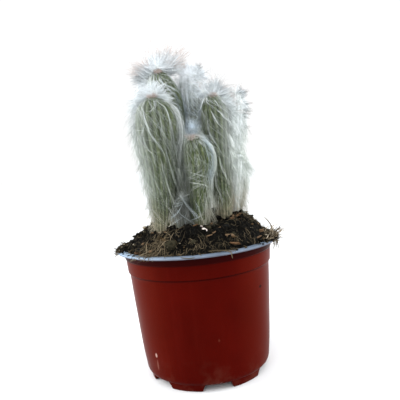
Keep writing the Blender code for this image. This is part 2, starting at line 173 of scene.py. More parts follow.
def point_attribute(mesh, name, values):
    a = mesh.attributes.new(name, "FLOAT", "POINT")
    a.data.foreach_set("value", np.ascontiguousarray(values, np.float32))


# ------------------------------------------------------------------- materials
class Tree:
    """A small builder of node materials with one Principled shader."""

    def __init__(self, name):
        self.mat = bpy.data.materials.new(name)
        self.mat.use_nodes = True
        self.nodes = self.mat.node_tree.nodes
        self.links = self.mat.node_tree.links
        self.bsdf = next(n for n in self.nodes if n.type == "BSDF_PRINCIPLED")

    def node(self, kind, **values):
        n = self.nodes.new(kind)
        for k, v in values.items():
            setattr(n, k, v)
        return n

    def join(self, a, b):
        self.links.new(a, b)

    def coords(self):
        return self.node("ShaderNodeTexCoord").outputs["Object"]

    def attribute(self, name):
        n = self.node("ShaderNodeAttribute")
        n.attribute_name = name
        return n.outputs["Fac"]

    def scaled(self, vector, scale, shift=(0, 0, 0)):
        n = self.node("ShaderNodeMapping")
        self.join(vector, n.inputs["Vector"])
        n.inputs["Scale"].default_value = scale
        n.inputs["Location"].default_value = shift
        return n.outputs["Vector"]

    def noise(self, vector, scale, detail=3.0, rough=0.5, distortion=0.0):
        n = self.node("ShaderNodeTexNoise")
        self.join(vector, n.inputs["Vector"])
        n.inputs["Scale"].default_value = scale
        n.inputs["Detail"].default_value = detail
        n.inputs["Roughness"].default_value = rough
        n.inputs["Distortion"].default_value = distortion
        return n.outputs["Fac"]

    def math(self, op, a, b=None, c=None, clamp=False):
        n = self.node("ShaderNodeMath", operation=op, use_clamp=clamp)
        for i, v in enumerate((a, b, c)):
            if v is None:
                continue
            if isinstance(v, (int, float)):
                n.inputs[i].default_value = v
            else:
                self.join(v, n.inputs[i])
        return n.outputs[0]

    def ramp(self, fac, stops):
        n = self.node("ShaderNodeValToRGB")
        self.join(fac, n.inputs["Fac"])
        el = n.color_ramp.elements
        while len(el) > 2:
            el.remove(el[-1])
        for i, (pos, col) in enumerate(stops):
            e = el[i] if i < 2 else el.new(pos)
            e.position = pos
            e.color = (*col, 1.0) if len(col) == 3 else col
        return n.outputs["Color"]

    def remap(self, value, a, b, c, d):
        n = self.node("ShaderNodeMapRange")
        self.join(value, n.inputs["Value"])
        for k, v in zip(("From Min", "From Max", "To Min", "To Max"), (a, b, c, d)):
            n.inputs[k].default_value = v
        return n.outputs["Result"]

    def mix(self, fac, a, b, blend="MIX"):
        n = self.node("ShaderNodeMix", data_type="RGBA", blend_type=blend)
        ins = [i for i in n.inputs if i.enabled]
        for sock, v in zip(ins, (fac, a, b)):
            if isinstance(v, (int, float)):
                sock.default_value = v
            elif isinstance(v, tuple):
                sock.default_value = (*v, 1.0)
            else:
                self.join(v, sock)
        return next(o for o in n.outputs if o.enabled)

    def bump(self, height, strength, distance):
        n = self.node("ShaderNodeBump")
        n.inputs["Strength"].default_value = strength
        n.inputs["Distance"].default_value = distance
        self.join(height, n.inputs["Height"])
        self.join(n.outputs["Normal"], self.bsdf.inputs["Normal"])

    def colour(self, socket):
        self.join(socket, self.bsdf.inputs["Base Color"])

    def rough(self, value):
        if isinstance(value, (int, float)):
            self.bsdf.inputs["Roughness"].default_value = value
        else:
            self.join(value, self.bsdf.inputs["Roughness"])


def spot(t, coords, at, size):
    """1 inside a soft ellipsoid at a place on the object, 0 outside."""
    sub = t.node("ShaderNodeVectorMath", operation="SUBTRACT")
    t.join(coords, sub.inputs[0])
    sub.inputs[1].default_value = [v * MM for v in at]
    div = t.node("ShaderNodeVectorMath", operation="DIVIDE")
    t.join(sub.outputs[0], div.inputs[0])
    div.inputs[1].default_value = [v * MM for v in size]
    length = t.node("ShaderNodeVectorMath", operation="LENGTH")
    t.join(div.outputs[0], length.inputs[0])
    return t.remap(length.outputs["Value"], 0.6, 1.0, 1.0, 0.0)


def pot_material():
    t = Tree("moulded_plastic")
    co = t.coords()
    sep = t.node("ShaderNodeSeparateXYZ")
    t.join(co, sep.inputs[0])
    x, y, z = sep.outputs
    cloud = t.noise(co, 26.0, 3.0, 0.55)
    fine = t.noise(co, 900.0, 2.0, 0.6)
    streak = t.noise(t.scaled(co, (1.0, 1.0, 0.05)), 160.0, 3.0, 0.6)
    red = t.ramp(cloud, [(0.30, (0.038, 0.0008, 0.0001)), (0.70, (0.052, 0.0012, 0.0002))])
    red = t.mix(t.remap(streak, 0.52, 0.85, 0.0, 0.22), red, (0.085, 0.006, 0.003))
    # painted light: the flanks to either side (by x) are lighter and browner, standing in for light from the sides
    flank_light = t.remap(t.math("MULTIPLY", x, x), 0.00045, 0.0028, 0.0, 1.0)
    red = t.mix(flank_light, red, (0.078, 0.0050, 0.0006))
    # dust and lime left by water near the floor
    low = t.remap(z, 0.030, 0.004, 0.0, 1.0)
    dust = t.math("MULTIPLY", low, t.remap(t.noise(co, 70.0, 5.0, 0.65), 0.50, 0.75, 0.0, 0.22))
    red = t.mix(dust, red, (0.16, 0.070, 0.045))
    # scuffs
    scratch = spot(t, co, (-39.3, -33.6, 26.6), (1.0, 3.0, 2.2))
    red = t.mix(t.math("MULTIPLY", scratch, 0.75), red, (0.42, 0.26, 0.22))
    trail = spot(t, co, (-38.9, -33.0, 18.8), (0.8, 3.4, 5.6))
    red = t.mix(t.math("MULTIPLY", trail, 0.25), red, (0.30, 0.13, 0.10))
    dot = spot(t, co, (43.8, -33.3, 71.8), (1.7, 2.6, 1.4))
    red = t.mix(t.math("MULTIPLY", dot, 0.95), red, (0.006, 0.001, 0.001))
    pale = spot(t, co, (8.8, -51.6, 40.2), (1.0, 3.0, 1.4))
    red = t.mix(t.math("MULTIPLY", pale, 0.22), red, (0.16, 0.05, 0.03))
    # painted shade darkens the neck under the lip and the step of the collar
    under_lip_shade = t.math("MULTIPLY", t.remap(z, 0.0972, 0.0986, 0.0, 1.0), t.remap(z, 0.1039, 0.1036, 0.0, 1.0))
    red = t.mix(t.math("MULTIPLY", under_lip_shade, 0.90), red, (0.014, 0.0005, 0.0005))
    step = t.math("MULTIPLY", t.remap(z, 0.0858, 0.0866, 0.0, 1.0), t.remap(z, 0.0876, 0.0870, 0.0, 1.0))
    red = t.mix(t.math("MULTIPLY", step, 0.7), red, (0.012, 0.0004, 0.0003))
    # the flat lip is painted pale blue-grey: a painted sky sheen, dimmer from its left end across to the right
    r2 = t.math("ADD", t.math("MULTIPLY", x, x), t.math("MULTIPLY", y, y))
    radius = t.math("SQRT", r2)
    on_lip = t.math("MULTIPLY", t.remap(z, 0.10395, 0.10425, 0.0, 1.0), t.remap(radius, 0.0575, 0.0580, 0.0, 1.0))
    lip_mottle = t.noise(co, 55.0, 4.0, 0.6)
    lip = t.ramp(lip_mottle, [(0.30, (0.22, 0.29, 0.38)), (0.70, (0.34, 0.43, 0.54))])
    lip_dim_sheen = t.ramp(lip_mottle, [(0.30, (0.095, 0.120, 0.160)), (0.70, (0.165, 0.205, 0.265))])
    lip = t.mix(t.remap(x, -0.046, -0.014, 0.0, 1.0), lip, lip_dim_sheen)
    specks = t.remap(t.noise(co, 420.0, 3.0, 0.7), 0.62, 0.72, 0.0, 0.55)
    lip = t.mix(specks, lip, (0.085, 0.070, 0.060))
    # painted shade: below its flat top the lip is darker
    side = t.math("MULTIPLY", t.remap(z, 0.10515, 0.10480, 0.0, 1.0), 0.55)
    lip = t.mix(side, lip, (0.085, 0.075, 0.085))
    t.colour(t.mix(on_lip, red, lip))
    t.rough(t.math("ADD", t.remap(cloud, 0.3, 0.7, 0.30, 0.38), t.math("MULTIPLY", on_lip, 0.05)))
    t.bsdf.inputs["Specular IOR Level"].default_value = 0.018
    t.bsdf.inputs["IOR"].default_value = 1.47
    t.bump(t.math("ADD", t.math("MULTIPLY", fine, 0.5), streak), 0.05, 0.0004)
    return t.mat


def soil_material(name, lift=1.0):
    t = Tree(name)
    co = t.coords()
    big = t.noise(co, 90.0, 4.0, 0.6)
    grain = t.noise(co, 520.0, 5.0, 0.7)
    rnd = t.attribute("shade")
    dark = t.ramp(big, [(0.30, (0.0006 * lift, 0.0006 * lift, 0.0005 * lift)), (0.72, (0.0036 * lift, 0.0032 * lift, 0.0024 * lift))])
    brown = t.mix(t.remap(grain, 0.56, 0.78, 0.0, 0.5), dark, (0.023, 0.019, 0.013))
    grey = t.mix(t.remap(t.noise(co, 260.0, 3.0, 0.6), 0.60, 0.74, 0.0, 0.4), brown, (0.024, 0.025, 0.025))
    olive = t.mix(t.remap(rnd, 0.55, 0.76, 0.0, 0.85), grey, (0.032, 0.028, 0.017))
    warm = t.mix(t.remap(rnd, 0.88, 0.96, 0.0, 0.85), olive, (0.075, 0.046, 0.022))
    pale = t.mix(t.remap(rnd, 0.975, 0.99, 0.0, 0.9), warm, (0.30, 0.26, 0.19))
    t.colour(pale)
    t.rough(0.92)
    t.bsdf.inputs["Specular IOR Level"].default_value = 0.05
    t.bump(grain, 0.7, 0.0008)
    return t.mat


def fibre_material():
    t = Tree("dry_fibre")
    rnd = t.attribute("shade")
    along = t.attribute("along")
    base = t.ramp(rnd, [(0.0, (0.010, 0.008, 0.005)), (0.35, (0.032, 0.026, 0.016)), (0.62, (0.080, 0.060, 0.034)), (0.85, (0.20, 0.155, 0.098)), (1.0, (0.50, 0.42, 0.32))])
    spots = t.noise(t.coords(), 600.0, 3.0, 0.6)
    col = t.mix(t.remap(spots, 0.5, 0.8, 0.0, 0.5), base, (0.050, 0.036, 0.022))
    col = t.mix(t.remap(along, 0.75, 1.0, 0.0, 0.25), col, (0.09, 0.065, 0.04))
    t.colour(col)
    t.rough(0.8)
    t.bsdf.inputs["Specular IOR Level"].default_value = 0.1
    t.bump(t.noise(t.coords(), 2200.0, 2.0), 0.3, 0.0002)
    return t.mat


def stone_material():
    t = Tree("perlite_grain")
    co = t.coords()
    n = t.noise(co, 700.0, 5.0, 0.7)
    col = t.ramp(n, [(0.30, (0.36, 0.30, 0.26)), (0.52, (0.60, 0.52, 0.47)), (0.80, (0.76, 0.70, 0.65))])
    t.colour(col)
    t.rough(0.9)
    t.bump(n, 0.6, 0.0005)
    return t.mat


def bark_material():
    t = Tree("bark_chip")
    co = t.coords()
    rnd = t.attribute("shade")
    lines = t.noise(t.scaled(co, (1.0, 5.0, 3.0)), 260.0, 4.0, 0.6)
    base = t.ramp(lines, [(0.30, (0.030, 0.016, 0.009)), (0.55, (0.100, 0.052, 0.024)), (0.80, (0.22, 0.125, 0.065))])
    col = t.mix(t.remap(rnd, 0.0, 1.0, 0.0, 0.45), base, (0.20, 0.14, 0.085))
    t.colour(col)
    t.rough(0.85)
    t.bsdf.inputs["Specular IOR Level"].default_value = 0.1
    t.bump(lines, 0.6, 0.0006)
    return t.mat


def skin_material(name, young_and_shaded):
    t = Tree(name)
    co = t.coords()
    groove = t.attribute("groove")
    tip = t.attribute("tip")
    foot = t.attribute("foot")
    mottle = t.noise(co, 150.0, 4.0, 0.6)
    # the young stems' skin is darker: painted shade, as they stand in the shade of the taller stems
    if young_and_shaded:
        crest = t.ramp(mottle, [(0.30, (0.036, 0.052, 0.013)), (0.72, (0.072, 0.096, 0.024))])
    else:
        crest = t.ramp(mottle, [(0.30, (0.052, 0.070, 0.030)), (0.72, (0.092, 0.114, 0.052))])
    # painted shade: the grooves between the ribs are darker, deeper still where a coat adds shade
    col = t.mix(t.remap(groove, 0.25, 0.95, 0.0, 0.80), crest, (0.022, 0.032, 0.012))
    dots = t.math("MULTIPLY", t.remap(t.attribute("areole"), 0.35, 0.95, 0.0, 0.75), t.remap(t.noise(co, 260.0, 2.0, 0.5), 0.42, 0.62, 0.15, 1.0))
    col = t.mix(dots, col, (0.30, 0.29, 0.21))
    col = t.mix(t.remap(tip, 0.0, 1.0, 0.0, 0.85), col, (0.34, 0.265, 0.205))
    col = t.mix(t.remap(foot, 0.0, 1.0, 0.0, 0.85), col, t.ramp(t.noise(co, 420.0, 4.0, 0.6), [(0.35, (0.085, 0.072, 0.046)), (0.65, (0.25, 0.215, 0.14))]))
    # painted shadow: dark specks stretched along the stem stand for the shadows of spines and hair
    spine_shadow_specks = t.noise(t.scaled(co, (1.0, 1.0, 0.45)), 620.0, 3.0, 0.6)
    col = t.mix(t.remap(spine_shadow_specks, 0.50, 0.64, 0.0, 0.72), col, (0.016, 0.022, 0.009))
    waxy = t.noise(co, 900.0, 2.0, 0.5)
    col = t.mix(t.remap(waxy, 0.55, 0.75, 0.0, 0.25), col, (0.22, 0.25, 0.17))
    threads = t.noise(t.scaled(co, (1.0, 1.0, 0.16)), 900.0, 3.0, 0.6)
    wool = t.ramp(threads, [(0.32, (0.40, 0.44, 0.42)), (0.62, (0.84, 0.88, 0.90))])
    col = t.mix(t.attribute("felt"), col, wool)
    # painted shade: the skin deep between the front stems and at the pup is darkened
    col = t.mix(t.math("MULTIPLY", spot(t, co, (-5.8, -31.0, 143.0), (9.5, 22.0, 34.0)), 0.5), col, (0.030, 0.036, 0.026))
    col = t.mix(t.math("MULTIPLY", spot(t, co, (-8.6, -40.0, 130.0), (9.0, 9.0, 15.0)), 0.85), col, (0.030, 0.031, 0.027))
    t.colour(col)
    t.rough(t.remap(mottle, 0.3, 0.7, 0.50, 0.64))
    t.bsdf.inputs["Specular IOR Level"].default_value = 0.30
    t.bump(t.noise(co, 700.0, 4.0, 0.6), 0.25, 0.0005)
    return t.mat


def hair_material():
    t = Tree("white_hair")
    co = t.coords()
    sep = t.node("ShaderNodeSeparateXYZ")
    t.join(co, sep.inputs[0])
    z = sep.outputs[2]
    shade = t.attribute("shade")
    along = t.attribute("along")
    tint = t.attribute("tint")
    # new hair at the growing tips is bluish white, old hair near the mix is grey and yellowed; the darkening down the
    # stems is partly painted shade
    fresh = t.ramp(shade, [(0.0, (0.20, 0.215, 0.21)), (0.45, (0.58, 0.62, 0.64)), (0.75, (0.84, 0.87, 0.895)), (1.0, (0.97, 0.985, 1.0))])
    middle = t.ramp(shade, [(0.0, (0.085, 0.095, 0.082)), (0.16, (0.21, 0.235, 0.20)), (0.40, (0.40, 0.44, 0.40)), (0.70, (0.66, 0.70, 0.67)), (1.0, (0.88, 0.91, 0.89))])
    old = t.ramp(shade, [(0.0, (0.070, 0.070, 0.056)), (0.16, (0.16, 0.155, 0.12)), (0.45, (0.32, 0.305, 0.23)), (1.0, (0.60, 0.58, 0.49))])
    cloud = t.noise(co, 55.0, 3.0, 0.5)
    level = t.math("ADD", z, t.remap(cloud, 0.3, 0.7, -0.010, 0.010))
    white = t.mix(t.remap(level, 0.160, 0.114, 0.0, 1.0), middle, old)
    white = t.mix(t.remap(level, 0.172, 0.224, 0.0, 1.0), white, fresh)
    white = t.mix(t.remap(level, 0.140, 0.121, 0.0, 0.75), white, t.ramp(shade, [(0.0, (0.15, 0.125, 0.080)), (0.5, (0.38, 0.33, 0.235)), (1.0, (0.56, 0.52, 0.42))]))
    white = t.mix(t.remap(along, 0.0, 0.25, 0.25, 0.0), white, (0.42, 0.42, 0.30))
    # tint 0..1 runs from white over pinkish tan to short brown spines
    tan = t.mix(t.remap(tint, 0.0, 0.5, 0.0, 1.0), white, (0.53, 0.455, 0.425))
    brown = t.mix(t.remap(tint, 0.5, 1.0, 0.0, 1.0), tan, (0.37, 0.27, 0.205))
    star = t.math("MULTIPLY", spot(t, co, (4.4, -31.6, 195.6), (9.0, 6.0, 8.0)), 0.85)
    brown = t.mix(star, brown, t.ramp(shade, [(0.0, (0.13, 0.165, 0.185)), (0.5, (0.42, 0.50, 0.57)), (1.0, (0.72, 0.82, 0.92))]))
    # hair between the tips and down the right of the small stem is given a blue cast
    blue = t.math("MAXIMUM", t.math("MULTIPLY", spot(t, co, (3.0, 4.0, 212.0), (17.0, 22.0, 24.0)), 0.75), t.math("MULTIPLY", spot(t, co, (13.5, -32.0, 172.0), (6.0, 9.0, 22.0)), 0.70))
    brown = t.mix(blue, brown, t.ramp(shade, [(0.0, (0.135, 0.170, 0.185)), (0.5, (0.42, 0.51, 0.565)), (1.0, (0.74, 0.84, 0.92))]))
    # painted shade darkens the mat at the pup; the threads that cross it are cold and light
    brown = t.mix(t.math("MULTIPLY", spot(t, co, (-7.0, -41.0, 134.0), (15.0, 8.0, 17.0)), 0.85), brown, t.ramp(shade, [(0.0, (0.070, 0.074, 0.072)), (0.18, (0.105, 0.115, 0.115)), (0.40, (0.22, 0.26, 0.275)), (0.62, (0.48, 0.56, 0.60)), (1.0, (0.70, 0.80, 0.86))]))
    # painted shade dulls the hair deep between the front stems
    t.colour(t.mix(t.math("MULTIPLY", spot(t, co, (-5.8, -31.0, 143.0), (9.5, 22.0, 34.0)), 0.72), brown, (0.060, 0.066, 0.058)))
    t.rough(0.6)
    t.bsdf.inputs["Specular IOR Level"].default_value = 0.2
    return t.mat


# ------------------------------------------------------------- camera and room
def make_camera():
    """A close view from 40 cm in front, a little above the lip, rolled 5.6 degrees."""
    place = Vector((0.0, -0.40249, 0.17707))
    right, up, ahead = Vector(LOOK_RIGHT), Vector(LOOK_UP), Vector(LOOK_AHEAD)
    cam = bpy.data.cameras.new("camera")
    cam.lens = 45.0
    cam.sensor_width = 36.0
    cam.clip_start = 0.01
    cam.clip_end = 20.0
    ob = bpy.data.objects.new("camera", cam)
    bpy.context.scene.collection.objects.link(ob)
    m = Matrix.Identity(4)
    for i in range(3):
        m[i][0], m[i][1], m[i][2], m[i][3] = right[i], up[i], -ahead[i], place[i]
    ob.matrix_world = m
    bpy.context.scene.camera = ob


def area_light(name, at, to, size, watts, colour=(1, 1, 1)):
    data = bpy.data.lights.new(name, "AREA")
    data.shape = "RECTANGLE"
    data.size, data.size_y = size
    data.energy = watts
    data.color = colour
    ob = bpy.data.objects.new(name, data)
    ob.location = at
    ob.rotation_euler = (Vector(to) - Vector(at)).to_track_quat("-Z", "Y").to_euler()
    bpy.context.scene.collection.objects.link(ob)


def make_room():
    world = bpy.data.worlds.new("studio")
    bpy.context.scene.world = world
    world.use_nodes = True
    nodes, links = world.node_tree.nodes, world.node_tree.links
    back = next(n for n in nodes if n.type == "BACKGROUND")
    tex = nodes.new("ShaderNodeTexCoord")
    sep = nodes.new("ShaderNodeSeparateXYZ")
    links.new(tex.outputs["Generated"], sep.inputs[0])

    def ramp(socket, low, high, stops):
        span = nodes.new("ShaderNodeMapRange")
        span.inputs["From Min"].default_value = low
        span.inputs["From Max"].default_value = high
        links.new(socket, span.inputs["Value"])
        r = nodes.new("ShaderNodeValToRGB")
        links.new(span.outputs["Result"], r.inputs["Fac"])
        el = r.color_ramp.elements
        el[0].position, el[0].color = stops[0][0], (*stops[0][1], 1)
        el[1].position, el[1].color = stops[-1][0], (*stops[-1][1], 1)
        for pos, col in stops[1:-1]:
            el.new(pos).color = (*col, 1)
        return r.outputs["Color"]

    # dim in front, where the viewer stands; bright behind and at both sides
    around = ramp(sep.outputs["Y"], -1.0, 1.0, [(0.0, (0.90, 0.91, 0.93)), (0.28, (0.92, 0.93, 0.94)), (0.55, (1.02, 1.02, 1.02)), (1.0, (1.02, 1.02, 1.02))])
    above = ramp(sep.outputs["Z"], 0.10, 0.85, [(0.0, (0.0, 0.0, 0.0)), (1.0, (0.20, 0.23, 0.26))])
    add = nodes.new("ShaderNodeMix")
    add.data_type, add.blend_type = "RGBA", "ADD"
    ins = [i for i in add.inputs if i.enabled]
    ins[0].default_value = 1.0
    links.new(around, ins[1])
    links.new(above, ins[2])
    links.new(next(o for o in add.outputs if o.enabled), back.inputs["Color"])
    back.inputs["Strength"].default_value = 1.0

    bm = bmesh.new()
    bmesh.ops.create_circle(bm, cap_ends=True, segments=96, radius=6.0)
    mesh = bpy.data.meshes.new("floor")
    bm.to_mesh(mesh)
    bm.free()
    floor = bpy.data.objects.new("floor", mesh)
    floor.location = (0, 0, -0.0003)
    bpy.context.scene.collection.objects.link(floor)
    t = Tree("pale_floor")
    t.bsdf.inputs["Base Color"].default_value = (0.74, 0.74, 0.74, 1)
    t.rough(0.95)
    t.bsdf.inputs["Specular IOR Level"].default_value = 0.0
    mesh.materials.append(t.mat)

    sun = bpy.data.lights.new("daylight", "SUN")
    sun.energy = 1.8
    sun.angle = math.radians(55)
    sun.color = (0.97, 0.99, 1.0)
    ob = bpy.data.objects.new("daylight", sun)
    ob.rotation_euler = Vector((0.12, 1.0, -0.75)).to_track_quat("-Z", "Y").to_euler()
    bpy.context.scene.collection.objects.link(ob)
    area_light("left", (-0.95, -0.10, 0.50), (0, 0, 0.15), (0.6, 0.9), 12.0, (0.97, 0.99, 1.0))
    area_light("right", (0.95, -0.05, 0.45), (0, 0, 0.15), (0.6, 0.9), 10.0, (0.97, 0.99, 1.0))
    scene = bpy.context.scene
    scene.view_settings.view_transform = "Standard"
    scene.view_settings.look = "None"
    scene.view_settings.exposure = 0.0
    scene.view_settings.gamma = 1.0


# ------------------------------------------------------------------------- pot
def wall_radius(z):
    return smooth_curve([(9, 50.3), (19, 51.5), (30, 52.6), (52, 54.2), (69, 55.4), (86, 56.4)], z)


def foot_shape(azimuth):
    """0 where a foot stands on the floor, 1 in the gap between two feet."""
    step = 60.0
    off = (azimuth - FIRST_GAP_AZIMUTH + step / 2) % step - step / 2
    d = (abs(off) - GAP_HALF_TOP) / (GAP_HALF_BOTTOM + 0.4 - GAP_HALF_TOP)
    d = min(1.0, max(0.0, d))
    return 1.0 - d


def make_pot(mat):
    lip_under = POT_HEIGHT - LIP_THICKNESS
    outside = [(MOUTH_RADIUS + 0.25, POT_HEIGHT), (60.0, POT_HEIGHT + 0.0), (62.5, POT_HEIGHT), (LIP_RADIUS - 0.7, POT_HEIGHT),
               (LIP_RADIUS - 0.3, POT_HEIGHT - 0.08), (LIP_RADIUS - 0.08, POT_HEIGHT - 0.3), (LIP_RADIUS, POT_HEIGHT - 0.6),
               (LIP_RADIUS, lip_under + 0.45), (LIP_RADIUS - 0.12, lip_under + 0.15), (LIP_RADIUS - 0.45, lip_under),
               (NECK_TOP_RADIUS + 1.0, lip_under), (NECK_TOP_RADIUS + 0.3, lip_under - 0.1), (NECK_TOP_RADIUS, lip_under - 0.5),
               (59.3, 101.5), (59.12, NECK_BOTTOM + 0.75), (59.02, NECK_BOTTOM + 0.25), (58.72, NECK_BOTTOM - 0.05), (58.45, NECK_BOTTOM - 0.3),
               (58.38, NECK_BOTTOM - 0.8), (58.1, 94.0), (57.8, 90.0), (COLLAR_BOTTOM_RADIUS + 0.02, COLLAR_BOTTOM + 0.7),
               (COLLAR_BOTTOM_RADIUS - 0.05, COLLAR_BOTTOM + 0.25), (COLLAR_BOTTOM_RADIUS - 0.35, COLLAR_BOTTOM), (56.75, COLLAR_BOTTOM - 0.25),
               (56.48, COLLAR_BOTTOM - 0.6)]
    for z in (84, 79, 72, 64, 56, 48, 40, 32, 25, 19, 14, 11):
        outside.append((wall_radius(z), z))
    outside += [(50.25, 8.8), (49.9, 7.6), (49.3, 6.5), (48.7, 5.8), (48.25, 5.45)]
    foot_from = len(outside)
    foot = [(47.55, 2.4), (47.1, 0.55), (46.95, 0.15), (46.6, 0.0), (43.5, 0.0), (43.15, 0.15), (43.0, 0.5), (42.8, 3.0)]
    inside = [(42.5, FLOOR_UNDERSIDE), (36.0, FLOOR_UNDERSIDE), (20.0, FLOOR_UNDERSIDE), (DRAIN_RADIUS + 0.3, FLOOR_UNDERSIDE),
              (DRAIN_RADIUS, FLOOR_UNDERSIDE + 0.3), (DRAIN_RADIUS, FLOOR_UNDERSIDE + FLOOR_THICKNESS),
              (20.0, FLOOR_UNDERSIDE + FLOOR_THICKNESS), (47.2, FLOOR_UNDERSIDE + FLOOR_THICKNESS), (wall_radius(9) - WALL, 9.8)]
    for z in (18, 34, 58, 79):
        inside.append((wall_radius(z) - WALL, z))
    inside += [(56.5 - WALL, COLLAR_BOTTOM - 0.2), (COLLAR_BOTTOM_RADIUS - WALL, COLLAR_BOTTOM + 0.9),
               (COLLAR_TOP_RADIUS - WALL, NECK_BOTTOM), (MOUTH_RADIUS - 0.05, POT_HEIGHT - 3.0), (MOUTH_RADIUS, POT_HEIGHT - 0.35)]
    section = outside + foot + inside

    angles = set(round(360.0 * i / 192, 4) for i in range(192))
    for k in range(6):
        mid = FIRST_GAP_AZIMUTH + 60.0 * k
        for s in (-1, 1):
            for d in (0.0, 0.15, 0.5, 0.85, 1.0):
                angles.add(round((mid + s * (GAP_HALF_TOP + d * (GAP_HALF_BOTTOM + 0.4 - GAP_HALF_TOP))) % 360.0, 4))
    angles = sorted(angles)
    keep = [angles[0]]
    for a in angles[1:]:
        if a - keep[-1] > 0.12:
            keep.append(a)
    angles = keep
    n, m = len(angles), len(section)
    verts = []
    for az in angles:
        a = math.radians(az)
        g = foot_shape(az)
        g = g * g * (3 - 2 * g)
        # the lip of such a thin pot is never quite flat or round
        wave = 0.10 * math.sin(2 * a + 0.6) + 0.06 * math.sin(5 * a + 2.0)
        for i, (r, z) in enumerate(section):
            if foot_from <= i < foot_from + len(foot):
                top = 5.42 if i < foot_from + 4 else FLOOR_UNDERSIDE - 0.02
                order = i - foot_from
                # in a gap the foot's outline folds flat into the wall's lower edge
                gz = top + (0.004 * order if i < foot_from + 4 else -0.002 * order)
                gr = 48.2 - 0.75 * order if order < 8 else r
                r = r + (gr - r) * g
                z = z + (gz - z) * g
            if z > 86.0:
                r += wave * (z - 86.0) / 20.0
            if z > 100.0:
                z += 0.08 * math.sin(3 * a + 1.0)
            verts.append((r * math.sin(a) * MM, -r * math.cos(a) * MM, z * MM))
    faces = []
    for k in range(n):
        k2 = (k + 1) % n
        for i in range(m):
            j = (i + 1) % m
            faces.append((k * m + i, k * m + j, k2 * m + j, k2 * m + i))
    pot = mesh_object("pot_shell", verts, faces, sharp=38)
    bm = bmesh.new()
    bm.from_mesh(pot.data)
    bmesh.ops.recalc_face_normals(bm, faces=bm.faces[:])
    bm.to_mesh(pot.data)
    bm.free()
    # drain holes in line with the gaps
    bm = bmesh.new()
    for k in range(6):
        a = math.radians(FIRST_GAP_AZIMUTH + 60.0 * k)
        made = bmesh.ops.create_cone(bm, cap_ends=True, segments=24, radius1=DRAIN_RADIUS * MM, radius2=DRAIN_RADIUS * MM, depth=4 * MM)
        bmesh.ops.translate(bm, verts=made["verts"], vec=(DRAIN_CIRCLE * math.sin(a) * MM, -DRAIN_CIRCLE * math.cos(a) * MM, 6.4 * MM))
    cutter_mesh = bpy.data.meshes.new("drains")
    bm.to_mesh(cutter_mesh)
    bm.free()
    cutter = bpy.data.objects.new("drains", cutter_mesh)
    bpy.context.scene.collection.objects.link(cutter)
    mod = pot.modifiers.new("drain holes", "BOOLEAN")
    mod.operation, mod.solver, mod.object = "DIFFERENCE", "EXACT", cutter
    apply_modifiers(pot)
    bpy.data.objects.remove(cutter)
    pot.data.materials.clear()
    pot.data.materials.append(mat)
    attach(pot, "root")
    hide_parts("pot")
    return pot


def apply_modifiers(ob):
    dg = bpy.context.evaluated_depsgraph_get()
    mesh = bpy.data.meshes.new_from_object(ob.evaluated_get(dg))
    ob.modifiers.clear()
    old = ob.data
    ob.data = mesh
    bpy.data.meshes.remove(old)


# ------------------------------------------------------------------- soil heap
def make_soil(mat):
    na = 260
    radii = []
    r = 57.95
    while r > 1.0:
        radii.append(r)
        r -= 0.62 if r > 30 else 0.9 if r > 12 else 1.8
    rows = []
    seat = FLOOR_UNDERSIDE + FLOOR_THICKNESS + 0.35
    for rr, z in ((24.0, seat), (46.3, seat), (47.9, 10.6), (wall_radius(18) - WALL - 0.45, 18), (wall_radius(34) - WALL - 0.45, 34),
                  (wall_radius(58) - WALL - 0.45, 58), (wall_radius(79) - WALL - 0.45, 79), (54.8, COLLAR_BOTTOM - 0.2),
                  (COLLAR_BOTTOM_RADIUS - WALL - 0.5, COLLAR_BOTTOM + 1.6), (COLLAR_TOP_RADIUS - WALL - 0.5, NECK_BOTTOM + 0.6), (57.6, 102.6)):
        rows.append((rr, z))
    verts = [(0, 0, seat * MM)]
    for rr, z in rows:
        for k in range(na):
            a = TAU * k / na
            verts.append((rr * math.sin(a) * MM, -rr * math.cos(a) * MM, z * MM))
    for rr in radii:
        for k in range(na):
            a = TAU * k / na
            x, y = rr * math.sin(a), -rr * math.cos(a)
            verts.append((x * MM, y * MM, soil_lumps(x, y) * MM))
    verts.append((0, 0, soil_lumps(0, 0) * MM))
    total = len(rows) + len(radii)
    faces = [(0, 1 + (k + 1) % na, 1 + k) for k in range(na)]
    for i in range(total - 1):
        for k in range(na):
            k2 = (k + 1) % na
            faces.append((1 + i * na + k, 1 + i * na + k2, 1 + (i + 1) * na + k2, 1 + (i + 1) * na + k))
    last = len(verts) - 1
    base = 1 + (total - 1) * na
    faces += [(base + k, base + (k + 1) % na, last) for k in range(na)]
    soil = mesh_object("soil_heap", verts, faces)
    point_attribute(soil.data, "shade", np.full(len(verts), 0.3))
    soil.data.materials.append(mat)
    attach(soil, "root")
    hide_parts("soil")
    return soil


def clear_of_stems(x, y, margin=0.0):
    for spec in STEMS.values():
        cx, cy, cz = spec["line"][0]
        if math.hypot(x - cx, y - cy) < smooth_curve(spec["radii"], cz) + margin:
            return False
    return True


def ico(subdivisions):
    bm = bmesh.new()
    bmesh.ops.create_icosphere(bm, subdivisions=subdivisions, radius=1.0)
    v = np.array([p.co for p in bm.verts])
    f = [[q.index for q in face.verts] for face in bm.faces]
    bm.free()
    return v, np.array(f)


class Pile:
    """Collects many small closed lumps in one mesh."""

    def __init__(self):
        self.v, self.f, self.s, self.count = [], [], [], 0

    def add(self, verts, faces, shade):
        self.v.append(verts)
        self.f.append(faces + self.count)
        self.s.append(np.full(len(verts), shade))
        self.count += len(verts)

    def build(self, name, mat, smooth=False):
        v = np.concatenate(self.v) * MM
        f = np.concatenate(self.f)
        mesh = bpy.data.meshes.new(name)
        mesh.from_pydata(v.tolist(), [], f.tolist())
        if smooth:
            mesh.shade_smooth()
        ob = bpy.data.objects.new(name, mesh)
        bpy.context.scene.collection.objects.link(ob)
        point_attribute(mesh, "shade", np.concatenate(self.s))
        mesh.materials.append(mat)
        return ob


